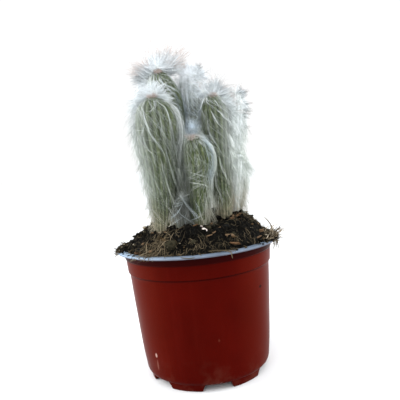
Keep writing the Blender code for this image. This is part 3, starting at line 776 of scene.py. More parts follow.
def lump(rng, base, size, flat=0.65):
    """One irregular crumb: a ball pushed about by smooth random waves."""
    v = base.copy()
    for _ in range(3):
        d = rng.normal(size=3)
        d /= np.linalg.norm(d)
        v = v * (1.0 + 0.22 * np.sin(3.2 * (v @ d) + rng.uniform(0, TAU)))[:, None]
    v = v * (1.0 + rng.uniform(-0.12, 0.12, size=len(v)))[:, None]
    v = v * np.array([size * rng.uniform(0.8, 1.35), size * rng.uniform(0.7, 1.0), size * flat * rng.uniform(0.7, 1.2)])
    a = rng.uniform(0, TAU)
    tilt = rng.uniform(-0.5, 0.5)
    rz = np.array([[math.cos(a), -math.sin(a), 0], [math.sin(a), math.cos(a), 0], [0, 0, 1]])
    rx = np.array([[1, 0, 0], [0, math.cos(tilt), -math.sin(tilt)], [0, math.sin(tilt), math.cos(tilt)]])
    return v @ (rz @ rx).T


def make_crumbs(mat):
    rng = np.random.RandomState(11)
    small, large = ico(1), ico(2)
    pile = Pile()
    made = 0
    while made < 1500:
        r = 58.6 * math.sqrt(rng.uniform())
        a = rng.uniform(0, TAU)
        x, y = r * math.sin(a), -r * math.cos(a)
        if not clear_of_stems(x, y, 0.6):
            continue
        size = 0.42 + 0.75 * rng.uniform() ** 2.6
        big = rng.uniform() < 0.10
        if big:
            size = rng.uniform(1.2, 2.5)
        if r > 57.0:
            size = min(size, 0.8)
        v, f = large if size > 1.0 else small
        z = soil_lumps(x, y) if r < 57.6 else POT_HEIGHT - 0.2
        shade = rng.uniform() ** 1.7
        pile.add(lump(rng, v, size) + np.array([x, y, z + size * rng.uniform(-0.1, 0.40)]), f, shade)
        made += 1
    # crumbs lying on the lip and heaped over it at the left, fewer at the right
    for az, spread, count, up in ((-78, 6, 110, 2.2), (68, 8, 250, 2.6), (-97, 9, 60, 2.6), (-70, 12, 12, 0.6), (80, 9, 60, 1.8), (96, 9, 40, 1.8), (40, 40, 12, 0.0), (150, 40, 22, 0.6), (-140, 35, 20, 0.6)):
        for _ in range(count):
            a = math.radians(az + rng.normal() * spread)
            r = rng.uniform(57.4, 65.3 if count > 100 else 64.0)
            size = rng.uniform(0.35, 1.1)
            x, y = r * math.sin(a), -r * math.cos(a)
            lift = up * max(0.0, 1.0 - (r - 57.4) / 6.5) * rng.uniform()
            v, f = large if size > 0.8 else small
            pile.add(lump(rng, v, size) + np.array([x, y, POT_HEIGHT + size * 0.35 + lift]), f, rng.uniform() ** 1.4)
    ob = pile.build("soil_crumbs", mat)
    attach(ob, "root")


def ground(x, y):
    """Top of whatever lies at a place: the mix, or the lip beyond it."""
    return soil_lumps(x, y) if math.hypot(x, y) < 57.7 else POT_HEIGHT + 0.05


def make_clod(mat):
    rng = np.random.RandomState(23)
    pile = Pile()
    v, f = ico(3)
    at = np.array([-18.6, -49.0, ground(-18.6, -49.0) + 1.9])
    body = v.copy()
    for i in range(len(body)):
        p = Vector(v[i])
        body[i] *= 0.92 + 0.34 * noise.noise(p * 1.7) + 0.24 * noise.noise(p * 4.1) + 0.12 * noise.noise(p * 9.0)
    pile.add(body * np.array([4.9, 4.2, 3.6]) + at, f, 0.80)
    sv, sf = ico(1)
    for _ in range(150):
        d = rng.normal(size=3)
        d /= np.linalg.norm(d)
        size = rng.uniform(0.25, 0.6)
        pile.add(lump(rng, sv, size) + at + d * np.array([4.9, 4.2, 3.9]) * rng.uniform(0.80, 1.04), sf, rng.uniform(0.55, 1.0))
    ob = pile.build("peat_clod", mat)
    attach(ob, "root")
    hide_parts("peat_clump")


def make_grains(mat):
    """Rice-shaped white grains on the mix and a few crumbs of them."""
    rng = np.random.RandomState(31)
    pile = Pile()
    v, f = ico(3)
    for x, y, yaw, tilt, size in ((3.6, -35.6, 25, 12, (2.0, 1.1, 1.0)), (6.2, -43.4, -32, 24, (2.4, 1.15, 1.05)),
                                  (47.0, -6.0, 10, 0, (0.8, 0.7, 0.6)),
                                  (-22.0, 40.0, 20, 0, (1.9, 1.3, 1.1)), (14.0, 46.0, 50, 0, (2.2, 1.2, 1.1)), (-48.0, 12.0, 80, 0, (1.5, 1.1, 0.9)), (41.0, 31.0, 130, 0, (1.6, 1.1, 1.0))):
        body = v.copy()
        shift = Vector((x, y, 0.0))
        for i in range(len(body)):
            p = Vector(v[i])
            body[i] *= 1.0 + 0.16 * noise.noise(p * 1.6 + shift) + 0.07 * noise.noise(p * 4.5 + shift)
        a, b = math.radians(yaw), math.radians(tilt)
        rz = np.array([[math.cos(a), -math.sin(a), 0], [math.sin(a), math.cos(a), 0], [0, 0, 1]])
        ry = np.array([[math.cos(b), 0, math.sin(b)], [0, 1, 0], [-math.sin(b), 0, math.cos(b)]])
        pile.add((body * np.array(size)) @ (rz @ ry).T + np.array([x, y, ground(x, y) + size[2] * 0.75]), f, rng.uniform())
    ob = pile.build("perlite_grains", mat, smooth=True)
    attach(ob, "root")
    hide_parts("perlite_grain_upper", "perlite_grain_lower")


def make_bark(mat):
    rng = np.random.RandomState(41)
    pile = Pile()
    bm = bmesh.new()
    bmesh.ops.create_cube(bm, size=2.0)
    bmesh.ops.subdivide_edges(bm, edges=bm.edges[:], cuts=3, use_grid_fill=True)
    bmesh.ops.triangulate(bm, faces=bm.faces[:])
    v = np.array([p.co for p in bm.verts])
    f = np.array([[q.index for q in face.verts] for face in bm.faces])
    bm.free()
    places = [(-43.5, -36.5, 35, 3.4, 1.5, 0.55), (27.5, -47.8, 20, 3.6, 1.2, 0.5), (49.5, -20.0, -30, 3.2, 1.3, 0.5), (24.0, -44.5, 10, 2.8, 1.1, 0.45),
              (-0.6, -40.6, 15, 2.3, 0.9, 0.45), (9.2, -47.0, -5, 2.0, 0.8, 0.4), (46.0, -31.4, 28, 2.6, 0.9, 0.4), (33.0, -13.5, 40, 2.4, 1.2, 0.5),
              (36.5, -11.0, -20, 2.0, 1.0, 0.4), (30.0, -15.0, 70, 1.8, 0.8, 0.4), (-33.0, -43.0, 0, 2.4, 0.8, 0.4), (-40.2, -31.5, 75, 2.2, 0.9, 0.4)]
    for _ in range(32):
        r, a = 56.0 * math.sqrt(rng.uniform(0.1, 1)), rng.uniform(0, TAU)
        x, y = r * math.sin(a), -r * math.cos(a)
        if clear_of_stems(x, y, 2.5):
            places.append((x, y, rng.uniform(0, 180), rng.uniform(0.8, 1.9), rng.uniform(0.4, 0.9), rng.uniform(0.25, 0.5)))
    for x, y, yaw, lx, ly, lz in places:
        b = v.copy()
        r = np.linalg.norm(b[:, :2], axis=1, keepdims=True)
        b[:, :2] *= 1.0 - 0.22 * np.clip(r - 0.8, 0, 1)
        for _ in range(3):
            d = rng.normal(size=3)
            d /= np.linalg.norm(d)
            b = b * (1.0 + 0.13 * np.sin(2.6 * (b @ d) + rng.uniform(0, TAU)))[:, None]
        b = b * np.array([lx, ly, lz])
        b[:, 2] += 0.12 * b[:, 0] ** 2 / max(lx, 0.1) * rng.uniform(-1, 1)
        a, e, g = math.radians(yaw), rng.uniform(-0.35, 0.35), rng.uniform(-0.35, 0.35)
        rz = np.array([[math.cos(a), -math.sin(a), 0], [math.sin(a), math.cos(a), 0], [0, 0, 1]])
        rx = np.array([[1, 0, 0], [0, math.cos(e), -math.sin(e)], [0, math.sin(e), math.cos(e)]])
        ry = np.array([[math.cos(g), 0, math.sin(g)], [0, 1, 0], [-math.sin(g), 0, math.cos(g)]])
        pile.add(b @ (rz @ rx @ ry).T + np.array([x, y, ground(x, y) + lz * 0.8 + 0.2]), f, rng.uniform())
    ob = pile.build("bark_chips", mat)
    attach(ob, "root")
    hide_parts("bark_chip_left", "bark_chip_front", "bark_chip_right")


def straws(rng, n, where, length, radius, shade, tilt=(0.0, 0.1), arch=(0.0, 0.8), bend=1.0, aim=None, k=6, lift=0.15):
    """Dry fibres lying on the mix or standing out of it."""
    P = np.zeros((n, k, 3))
    s = np.linspace(0, 1, k)
    L = np.zeros(n)
    for i in range(n):
        for _ in range(40):
            x, y = where(rng)
            if clear_of_stems(x, y, 0.8) and math.hypot(x, y) < 65.5:
                break
        L[i] = length[0] + (length[1] - length[0]) * rng.uniform() ** 1.6
        a = rng.uniform(0, TAU) if aim is None else aim(x, y, rng)
        c, w = rng.normal(scale=bend), rng.uniform(0, TAU)
        t = rng.uniform(*tilt)
        up = rng.uniform(*arch)
        px, py, step = x, y, L[i] / (k - 1)
        rise = 0.0
        for j in range(k):
            g = ground(px, py) if math.hypot(px, py) < 65.0 else POT_HEIGHT - 2.0
            base = max(g, P[i, 0, 2] - 50.0) if j else g
            if t > 0.2:
                z = (P[i, 0, 2] if j else base + lift) + rise
                z = max(z, g + 0.1) if math.hypot(px, py) < 65.0 else z
            else:
                z = base + lift + up * math.sin(math.pi * s[j]) + rng.uniform(-0.05, 0.05)
            P[i, j] = (px, py, z)
            head = a + c * s[j] + 0.25 * math.sin(4 * s[j] + w)
            px += step * math.cos(t) * math.cos(head)
            py += step * math.cos(t) * math.sin(head)
            rise += step * math.sin(t)
    w = widths(n, k, rng.uniform(radius[0], radius[1], n) * np.clip(L / 6.0, 0.7, 1.3), tip=0.4, root=0.6, hold=0.6)
    return dict(P=P, w=w, shade=rng.uniform(shade[0], shade[1], n), tint=np.zeros((n, k)), seed=int(rng.randint(1e6)))


def path_straw(points, radius, shade, k=14):
    """One straw through given places."""
    pts = np.array(points, float)
    d = np.concatenate([[0], np.cumsum(np.linalg.norm(np.diff(pts, axis=0), axis=1))])
    s = np.linspace(0, d[-1], k)
    P = np.stack([[smooth_curve(list(zip(d, pts[:, c])), v) for v in s] for c in range(3)], axis=1)[None]
    return dict(P=P, w=widths(1, k, np.array([radius]), tip=0.5, root=0.6, hold=0.7), shade=np.array([shade]), tint=np.zeros((1, k)), seed=7)


def ring_place(az, spread, r0, r1):
    def pick(rng):
        a = math.radians(az + rng.uniform(-spread, spread))
        r = rng.uniform(r0, r1)
        return r * math.sin(a), -r * math.cos(a)
    return pick


def heap_place(x, y, sx, sy):
    return lambda rng: (x + rng.normal() * sx, y + rng.normal() * sy)


def anywhere(rng):
    r, a = 57.5 * math.sqrt(rng.uniform()), rng.uniform(0, TAU)
    return r * math.sin(a), -r * math.cos(a)


def outward(x, y, rng):
    return math.atan2(y, x) + rng.normal(scale=0.7)


def make_straw(mat):
    rng = np.random.RandomState(53)
    litter = [straws(rng, 850, anywhere, (1.2, 6.0), (0.07, 0.20), (0.0, 0.52)),
              straws(rng, 280, anywhere, (1.5, 4.5), (0.06, 0.14), (0.1, 0.85), tilt=(0.3, 1.2), bend=0.6),
              straws(rng, 70, anywhere, (8, 20), (0.09, 0.18), (0.10, 0.60), arch=(0.3, 2.0), bend=3.0, k=12)]
    left = [straws(rng, 170, heap_place(-30.0, -44.5, 8.0, 5.0), (3.0, 11.0), (0.10, 0.25), (0.35, 0.85), arch=(0.2, 1.6)),
            straws(rng, 60, heap_place(-33.0, -42.0, 9.0, 6.0), (2.5, 7.0), (0.08, 0.18), (0.35, 0.9), tilt=(0.3, 1.1), bend=0.6),
            straws(rng, 110, ring_place(-78, 8, 60.0, 65.3), (1.8, 5.5), (0.08, 0.20), (0.05, 0.7), tilt=(0.0, 0.4), arch=(0.2, 1.2), aim=outward),
             straws(rng, 120, ring_place(-95, 13, 55.5, 64.8), (1.8, 6.5), (0.08, 0.22), (0.05, 0.70), tilt=(0.0, 0.7), arch=(0.2, 1.5), aim=outward),
            straws(rng, 90, ring_place(-30, 34, 52.5, 58.6), (2.5, 9.0), (0.09, 0.20), (0.40, 0.80))]
    front = [straws(rng, 90, ring_place(24, 26, 51.0, 58.4), (2.0, 8.0), (0.09, 0.22), (0.35, 0.75)),
             straws(rng, 34, ring_place(20, 8, 55.5, 60.5), (3.0, 7.5), (0.09, 0.18), (0.20, 0.65), arch=(0.3, 1.4)),
             path_straw([(4, -55.4, 106.2), (10, -56.6, 107.1), (17, -58.4, 107.0), (21.5, -60.5, 106.3), (23.5, -61.6, 105.9), (25.0, -61.8, 106.4)], 0.36, 0.52),
             path_straw([(16, -57.8, 106.9), (20.5, -61.0, 106.6), (22.4, -64.9, 106.0), (22.8, -65.7, 103.4), (23.2, -65.6, 101.9)], 0.36, 0.66),
             path_straw([(19, -57.2, 106.7), (22, -60.0, 107.0), (25.2, -60.6, 106.5), (27, -59.6, 106.9)], 0.24, 0.60),
             path_straw([(-12.5, -64.1, 106.1), (-6.8, -65.4, 105.2), (-2.2, -65.6, 105.6)], 0.34, 0.62),
             path_straw([(-1, -38.5, 121.0), (-4.4, -38.9, 121.4), (-7.9, -41.2, 119.9), (-9.0, -44.8, 117.6), (-7.4, -48.0, 114.5), (-3.5, -50.0, 112.8)], 0.26, 0.78),
             path_straw([(-7.6, -41.2, 118.2), (-7.9, -41.3, 121.4), (-8.4, -41.1, 124.9)], 0.30, 0.70, k=7)]
    right = [straws(rng, 150, ring_place(68, 8, 59.5, 65.3), (1.8, 6.0), (0.09, 0.22), (0.05, 0.55), tilt=(0.0, 0.4), arch=(0.2, 1.3), aim=outward),
             straws(rng, 120, ring_place(78, 20, 55.0, 64.8), (2.5, 9.0), (0.10, 0.26), (0.45, 0.98), tilt=(0.0, 0.5), arch=(0.3, 2.4), aim=outward),
             straws(rng, 60, ring_place(80, 14, 57.0, 64.5), (4.0, 12.0), (0.08, 0.20), (0.55, 1.0), tilt=(0.2, 0.9), aim=outward, bend=0.5),
             straws(rng, 26, heap_place(52.0, -3.0, 3.0, 6.0), (4.0, 9.5), (0.06, 0.13), (0.75, 1.0), tilt=(0.8, 1.45), bend=0.4),
             straws(rng, 130, heap_place(34.0, -9.0, 9.0, 5.0), (1.8, 6.5), (0.09, 0.20), (0.40, 0.80)),
             path_straw([(60.2, -10.0, 104.9), (61.4, -4.6, 107.3), (61.8, 1.5, 110.6), (60.2, 7.5, 114.5), (57.5, 12.5, 118.0)], 0.55, 0.84),
             path_straw([(58.0, -6.0, 106.0), (61.0, -1.0, 109.5), (64.8, 4.0, 111.0), (69.6, 8.0, 110.2)], 0.30, 0.90),
             path_straw([(57.0, -14.0, 106.6), (59.5, -9.0, 109.0), (60.4, -3.0, 112.8), (59.0, 2.0, 116.0)], 0.40, 0.62)]
    for _ in range(16):
        a, drop = math.radians(rng.uniform(60, 72)), rng.uniform(2.0, 9.0)
        c, d = math.sin(a), -math.cos(a)
        right.append(path_straw([(62.0 * c, 62.0 * d, 106.2), (65.2 * c, 65.2 * d, 105.6), (65.8 * c, 65.8 * d, 104.6 - 0.4 * drop), (65.0 * c + rng.normal() * 0.8, 65.0 * d + rng.normal() * 0.8, 104.0 - drop)], rng.uniform(0.12, 0.3), rng.uniform(0.2, 0.75), k=7))
    for _ in range(9):
        a, drop = math.radians(rng.uniform(-92, -74)), rng.uniform(1.5, 6.0)
        c, d = math.sin(a), -math.cos(a)
        left.append(path_straw([(62.0 * c, 62.0 * d, 106.0), (65.3 * c, 65.3 * d, 105.5), (66.0 * c, 66.0 * d, 104.6 - 0.4 * drop), (66.2 * c + rng.normal() * 0.6, 66.2 * d + rng.normal() * 0.6, 104.0 - drop)], rng.uniform(0.10, 0.22), rng.uniform(0.2, 0.75), k=7))
    for name, parts, takes in (("litter", litter, None), ("fibres_left", left, "fibre_left"), ("straw_front", front, "straw_over_lip"), ("twigs_right", right, "twig_right")):
        ob, _ = tubes(name, parts, mat)
        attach(ob, "root")
        if takes:
            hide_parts(takes)


# ------------------------------------------------------------------ hair tubes
def tubes(name, parts, mat):
    """Closed, pointed, three-sided strands. Each part is a dict with P (n, k, 3)
    in millimetres, w (n, k) radii, shade (n), tint (n, k)."""
    verts, quads, tris, shade, along, tint = [], [], [], [], [], []
    loops_uv_q, loops_uv_t = [], []
    base = 0
    total = sum(len(p["P"]) for p in parts)
    cols = max(1, int(math.ceil(math.sqrt(total / 6.0))))
    rows = int(math.ceil(total / cols))
    first = 0
    for p in parts:
        P, w = p["P"], p["w"]
        n, k, _ = P.shape
        T = np.gradient(P, axis=1)
        T /= np.linalg.norm(T, axis=2, keepdims=True) + 1e-9
        rng = np.random.RandomState(p.get("seed", 5))
        ref = rng.normal(size=(n, 1, 3))
        mean = T.mean(axis=1, keepdims=True)
        mean /= np.linalg.norm(mean, axis=2, keepdims=True) + 1e-9
        ref = ref - (ref * mean).sum(axis=2, keepdims=True) * mean
        ref /= np.linalg.norm(ref, axis=2, keepdims=True) + 1e-9
        U = ref - (ref * T).sum(axis=2, keepdims=True) * T
        U /= np.linalg.norm(U, axis=2, keepdims=True) + 1e-9
        V = np.cross(T, U)
        ring = []
        for j in range(3):
            a = TAU * j / 3
            ring.append(P[:, :-1] + w[:, :-1, None] * (math.cos(a) * U[:, :-1] + math.sin(a) * V[:, :-1]))
        ring = np.stack(ring, axis=2)  # n, k-1, 3, 3
        per = (k - 1) * 3 + 1
        block = np.concatenate([ring.reshape(n, (k - 1) * 3, 3), P[:, -1:, :]], axis=1)
        verts.append(block.reshape(-1, 3))
        start = base + np.arange(n) * per
        q = []
        uvq = []
        cell = np.arange(first, first + n)
        cu, cv = (cell % cols) / cols, (cell // cols) / rows
        du, dv = 0.86 / cols, 0.86 / rows
        for i in range(k - 2):
            for j in range(3):
                j2 = (j + 1) % 3
                q.append(np.stack([start + i * 3 + j, start + i * 3 + j2, start + (i + 1) * 3 + j2, start + (i + 1) * 3 + j], axis=1))
                u0, u1 = j / 3.0, (j + 1) / 3.0
                v0, v1 = i / (k - 1.0), (i + 1) / (k - 1.0)
                uvq.append(np.stack([np.stack([cu + du * a, cv + dv * b], axis=1) for a, b in ((u0, v0), (u1, v0), (u1, v1), (u0, v1))], axis=1))
        quads.append(np.stack(q, axis=1).reshape(-1, 4))
        loops_uv_q.append(np.stack(uvq, axis=1).reshape(-1, 2))
        tri, uvt = [], []
        tri.append(np.stack([start + 2, start + 1, start], axis=1))
        uvt.append(np.stack([np.stack([cu + du * a, cv + dv * b], axis=1) for a, b in ((0.0, 0.0), (0.5, 0.0), (0.25, 0.06))], axis=1))
        top = (k - 2) * 3
        for j in range(3):
            tri.append(np.stack([start + top + j, start + top + (j + 1) % 3, start + per - 1], axis=1))
            v0 = (k - 2) / (k - 1.0)
            uvt.append(np.stack([np.stack([cu + du * a, cv + dv * b], axis=1) for a, b in ((j / 3.0, v0), ((j + 1) / 3.0, v0), ((j + 0.5) / 3.0, 1.0))], axis=1))
        tris.append(np.stack(tri, axis=1).reshape(-1, 3))
        loops_uv_t.append(np.stack(uvt, axis=1).reshape(-1, 2))
        s = np.linspace(0, 1, k)
        al = np.concatenate([np.repeat(s[:-1], 3), [1.0]])
        along.append(np.tile(al, n))
        sh = p["shade"] if np.ndim(p["shade"]) == 2 else np.repeat(p["shade"][:, None], k, axis=1)
        shade.append(np.concatenate([np.repeat(sh[:, :-1], 3, axis=1), sh[:, -1:]], axis=1).reshape(-1))
        tn = p["tint"]
        tint.append(np.concatenate([np.repeat(tn[:, :-1], 3, axis=1), tn[:, -1:]], axis=1).reshape(-1))
        base += n * per
        first += n
    v = np.concatenate(verts) * MM
    q, t = np.concatenate(quads), np.concatenate(tris)
    mesh = bpy.data.meshes.new(name)
    mesh.vertices.add(len(v))
    mesh.vertices.foreach_set("co", v.astype(np.float32).ravel())
    loops = np.concatenate([q.ravel(), t.ravel()]).astype(np.int32)
    mesh.loops.add(len(loops))
    mesh.loops.foreach_set("vertex_index", loops)
    starts = np.concatenate([np.arange(len(q)) * 4, len(q) * 4 + np.arange(len(t)) * 3]).astype(np.int32)
    mesh.polygons.add(len(starts))
    mesh.polygons.foreach_set("loop_start", starts)
    mesh.update(calc_edges=True)
    mesh.validate()
    mesh.shade_flat()
    uv = mesh.uv_layers.new(name="OFBake")
    uv.data.foreach_set("uv", np.concatenate(loops_uv_q + loops_uv_t).astype(np.float32).ravel())
    point_attribute(mesh, "along", np.concatenate(along))
    point_attribute(mesh, "shade", np.concatenate(shade))
    point_attribute(mesh, "tint", np.concatenate(tint))
    ob = bpy.data.objects.new(name, mesh)
    bpy.context.scene.collection.objects.link(ob)
    mesh.materials.append(mat)
    return ob, len(q) * 2 + len(t)


def widths(n, k, radius, tip=0.35, root=0.8, hold=0.45):
    s = np.linspace(0, 1, k)
    shape = root + (1 - root) * np.minimum(1, s * 5)
    shape = shape * (1 - (1 - tip) * np.clip((s - hold) / (1 - hold), 0, 1) ** 1.3)
    return radius[:, None] * shape[None, :]


# -------------------------------------------------------------------- the stems
class Stem:
    """A stem's surface by arc length q from the apex and angle a from the front."""

    def __init__(self, spec, extra=0.0):
        shoulder, sr = spec["radii"][-1]
        apex = spec["line"][-1][2]
        low = spec["line"][0][2] - 7.0
        dome = apex - shoulder
        z, r = [], []
        for i in range(120):
            b = math.pi / 2 * (1 - i / 120.0)
            z.append(shoulder + dome * math.sin(b))
            r.append(sr * math.cos(b))
        count = 400
        for i in range(count + 1):
            zz = shoulder + (low - shoulder) * i / count
            z.append(zz)
            r.append(smooth_curve(spec["radii"], zz))
        self.z, self.r = np.array(z), np.array(r)
        dz, dr = np.gradient(self.z), np.gradient(self.r)
        length = np.hypot(dz, dr) + 1e-9
        self.nr, self.nz = -dz / length, dr / length
        self.q = np.concatenate([[0.0], np.cumsum(np.hypot(np.diff(self.z), np.diff(self.r)))])
        self.cx = np.array([smooth_curve([(p[2], p[0]) for p in spec["line"]], zz) for zz in z])
        self.cy = np.array([smooth_curve([(p[2], p[1]) for p in spec["line"]], zz) for zz in z])
        self.length = self.q[-1]
        self.soil_q = float(np.interp(-(spec["line"][0][2]), -self.z, self.q))
        self.ribs = spec["ribs"]
        self.apex = np.array(spec["line"][-1], float)
        self.shoulder_r = sr
        self.spec = spec

    def at(self, q, a, h=0.0):
        r = np.interp(q, self.q, self.r)
        nr, nz = np.interp(q, self.q, self.nr), np.interp(q, self.q, self.nz)
        z = np.interp(q, self.q, self.z)
        cx, cy = np.interp(q, self.q, self.cx), np.interp(q, self.q, self.cy)
        rr = r + h * nr
        return np.stack([cx + rr * np.sin(a), cy - rr * np.cos(a), z + h * nz], axis=-1)

    def radius(self, q):
        return np.interp(q, self.q, self.r)


def make_skin(name, stem, mat, coat):
    n = stem.ribs * 6
    qs = [0.0]
    q = 0.35
    while q < stem.length:
        qs.append(q)
        q += 0.75 if q < 6 else 1.25 if q < 20 else 1.9
    rng = np.random.RandomState(3)
    phase = rng.uniform(0, 1, size=stem.ribs)
    a = TAU * np.arange(n) / n
    f = (a * stem.ribs / TAU) % 1.0
    groove = (0.5 - 0.5 * np.cos(TAU * f)) ** 1.25
    rib = ((a * stem.ribs / TAU + 0.5) % stem.ribs).astype(int)
    verts = [tuple(stem.apex * MM)]
    patch = coat.get("patch", 1.0)
    gro, tip, foot, felt, spots = [0.4], [patch], [coat.get("aged", 0.0)], [1.0 - patch], [0.0]
    wool = np.clip(by_side(a, *coat["felt"]), 0, 1)
    for q in qs[1:]:
        r = float(stem.radius(q))
        depth = min(0.115 * r, 1.9) * min(1.0, q / 9.0)
        pitch = 4.6
        bump = 0.32 * np.exp(-(((q / pitch + phase[rib]) % 1.0 - 0.5) / 0.16) ** 2) * np.clip(1 - groove * 2.2, 0, 1) * min(1.0, q / 6.0)
        h = -depth * groove + bump * min(1.0, r / 9.0)
        p = stem.at(np.full(n, q), a, h)
        verts += [tuple(v) for v in p * MM]
        # the groove value also carries painted shade that a coat adds over the whole skin
        gro += list(np.clip(groove * min(1.0, q / 5.0) + coat.get("added_groove_shade", 0.0), 0, 1))
        spots += list(np.clip(bump / 0.32, 0, 1))
        tip += list(np.clip(1.2 - q / (3.4 + 3.4 * np.maximum(np.cos(a), 0) ** 3), 0, 1) * patch)
        old = coat.get("old", 10.0) * (0.55 + 0.45 * np.maximum(-np.sin(a), 0))
        foot += list(np.maximum(coat.get("aged", 0.0), np.clip((q - stem.soil_q + old) / (old + 2.0), 0, 1)))
        felt += list(wool * min(1.0, max(0.0, q - 2.0 * patch) / 4.0 + 1.0 - patch) * (1.0 if q < coat["felt_to"] else math.exp(-(q - coat["felt_to"]) / 8.0)) * (1 - 0.35 * groove))
    rows = len(qs) - 1
    end = stem.at(np.array([stem.length]), np.array([0.0]))[0]
    z_low = float(stem.z[-1])
    verts.append((float(stem.cx[-1]) * MM, float(stem.cy[-1]) * MM, (z_low - 1.0) * MM))
    gro.append(0.5), tip.append(0.0), foot.append(1.0), felt.append(0.0), spots.append(0.0)
    faces = [(0, 1 + k, 1 + (k + 1) % n) for k in range(n)]
    for i in range(rows - 1):
        for k in range(n):
            k2 = (k + 1) % n
            faces.append((1 + i * n + k, 1 + (i + 1) * n + k, 1 + (i + 1) * n + k2, 1 + i * n + k2))
    last = len(verts) - 1
    b = 1 + (rows - 1) * n
    faces += [(b + k, last, b + (k + 1) % n) for k in range(n)]
    ob = mesh_object(name + "_skin", verts, faces)
    point_attribute(ob.data, "groove", np.array(gro))
    point_attribute(ob.data, "tip", np.array(tip))
    point_attribute(ob.data, "foot", np.array(foot))
    point_attribute(ob.data, "felt", np.array(felt))
    point_attribute(ob.data, "areole", np.array(spots))
    ob.data.materials.append(mat)
    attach(ob, "root")
    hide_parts(name)
    return len(faces) * 2


def by_side(angle, front, right, back, left, power=2):
    """A value that changes smoothly round the stem."""
    s, c = np.sin(angle), np.cos(angle)
    parts = [(front, np.maximum(c, 0) ** power), (back, np.maximum(-c, 0) ** power),
             (right, np.maximum(s, 0) ** power), (left, np.maximum(-s, 0) ** power)]
    return sum(v * w for v, w in parts) / sum(w for v, w in parts)


def by_margin(angle, front, right, back, left, edge):
    """As by_side, but the front value holds up to narrow margins at both sides."""
    deg = (np.degrees(angle) + 180.0) % 360.0 - 180.0
    lo, hi, lo_r, hi_r = edge if len(edge) == 4 else edge * 2
    return np.interp(deg, [-180, -100, -hi, -lo, lo_r, hi_r, 100, 180], [back, left, left, front, front, right, right, back])


def scatter(stem, rng, n, q_low, q_high, weight, jitter=0.16):
    """Rooting places on the crests of the ribs; more of them where weight(q, a) is large."""
    q_all, a_all = [], []
    have = 0
    while have < n:
        m = 4 * n
        q = rng.uniform(q_low, q_high, m)
        rib = rng.randint(0, stem.ribs, m)
        a = TAU * (rib + rng.normal(scale=jitter, size=m)) / stem.ribs
        w = weight(q, a) * (stem.radius(q) + 0.5)
        keep = rng.uniform(size=m) < w / w.max()
        q_all.append(q[keep])
        a_all.append(a[keep])
        have += int(keep.sum())
    return np.concatenate(q_all)[:n], np.concatenate(a_all)[:n]


def near_mix(stem, q):
    """1 well above the mix, falling to 0 where the stem enters it."""
    return np.clip((stem.soil_q - q) / 14.0, 0.0, 1.0)


def draped(stem, rng, k, q0, a0, length, heading, wander, stand, radius, end_lift=0.0, shade=(0.3, 1.0), tint=0.0, tip=0.35):
    """Strands that leave the skin and run down it at a small distance.
    length, heading (radians from straight down, + to the right) and stand are arrays."""
    n = len(q0)
    s = np.linspace(0, 1, k)[None, :]
    ph1, ph2 = rng.uniform(0, TAU, (n, 1)), rng.uniform(0, TAU, (n, 1))
    wave = wander * (np.sin(TAU * s * rng.uniform(0.6, 1.6, (n, 1)) + ph1) + 0.5 * np.sin(TAU * s * rng.uniform(2.0, 3.4, (n, 1)) + ph2))
    head = heading[:, None] + wave
    ds = length[:, None] / (k - 1)
    q = q0[:, None] + np.concatenate([np.zeros((n, 1)), np.cumsum(ds * np.cos(head[:, :-1]), axis=1)], axis=1)
    q = np.maximum(q, 0.15)
    rr = np.maximum(stem.radius(q), 2.5)
    a = a0[:, None] + np.concatenate([np.zeros((n, 1)), np.cumsum(ds * np.sin(head[:, :-1]) / rr[:, :-1], axis=1)], axis=1)
    rise = 1 - np.exp(-s * rng.uniform(3.0, 7.0, (n, 1)))
    h = -0.3 + (stand[:, None] + 0.3) * rise * (1 + 0.22 * np.sin(TAU * s * rng.uniform(1.0, 2.5, (n, 1)) + ph2)) + end_lift * s ** 3 * stand[:, None]
    h = h * (0.25 + 0.75 * near_mix(stem, q))
    over = np.maximum(0.0, q - stem.soil_q + 0.5)
    q = np.where(over > 0, q - over + 0.3 * np.tanh(over), q)
    h = h + over * 0.12
    P = stem.at(q, a, h)
    tn = np.broadcast_to(np.asarray(tint, float).reshape(-1, 1) if np.ndim(tint) else np.full((1, 1), tint), (n, k))
    return dict(P=P, w=widths(n, k, radius, tip=tip), shade=rng.uniform(shade[0], shade[1], n), tint=tn, seed=int(rng.randint(1e6)))


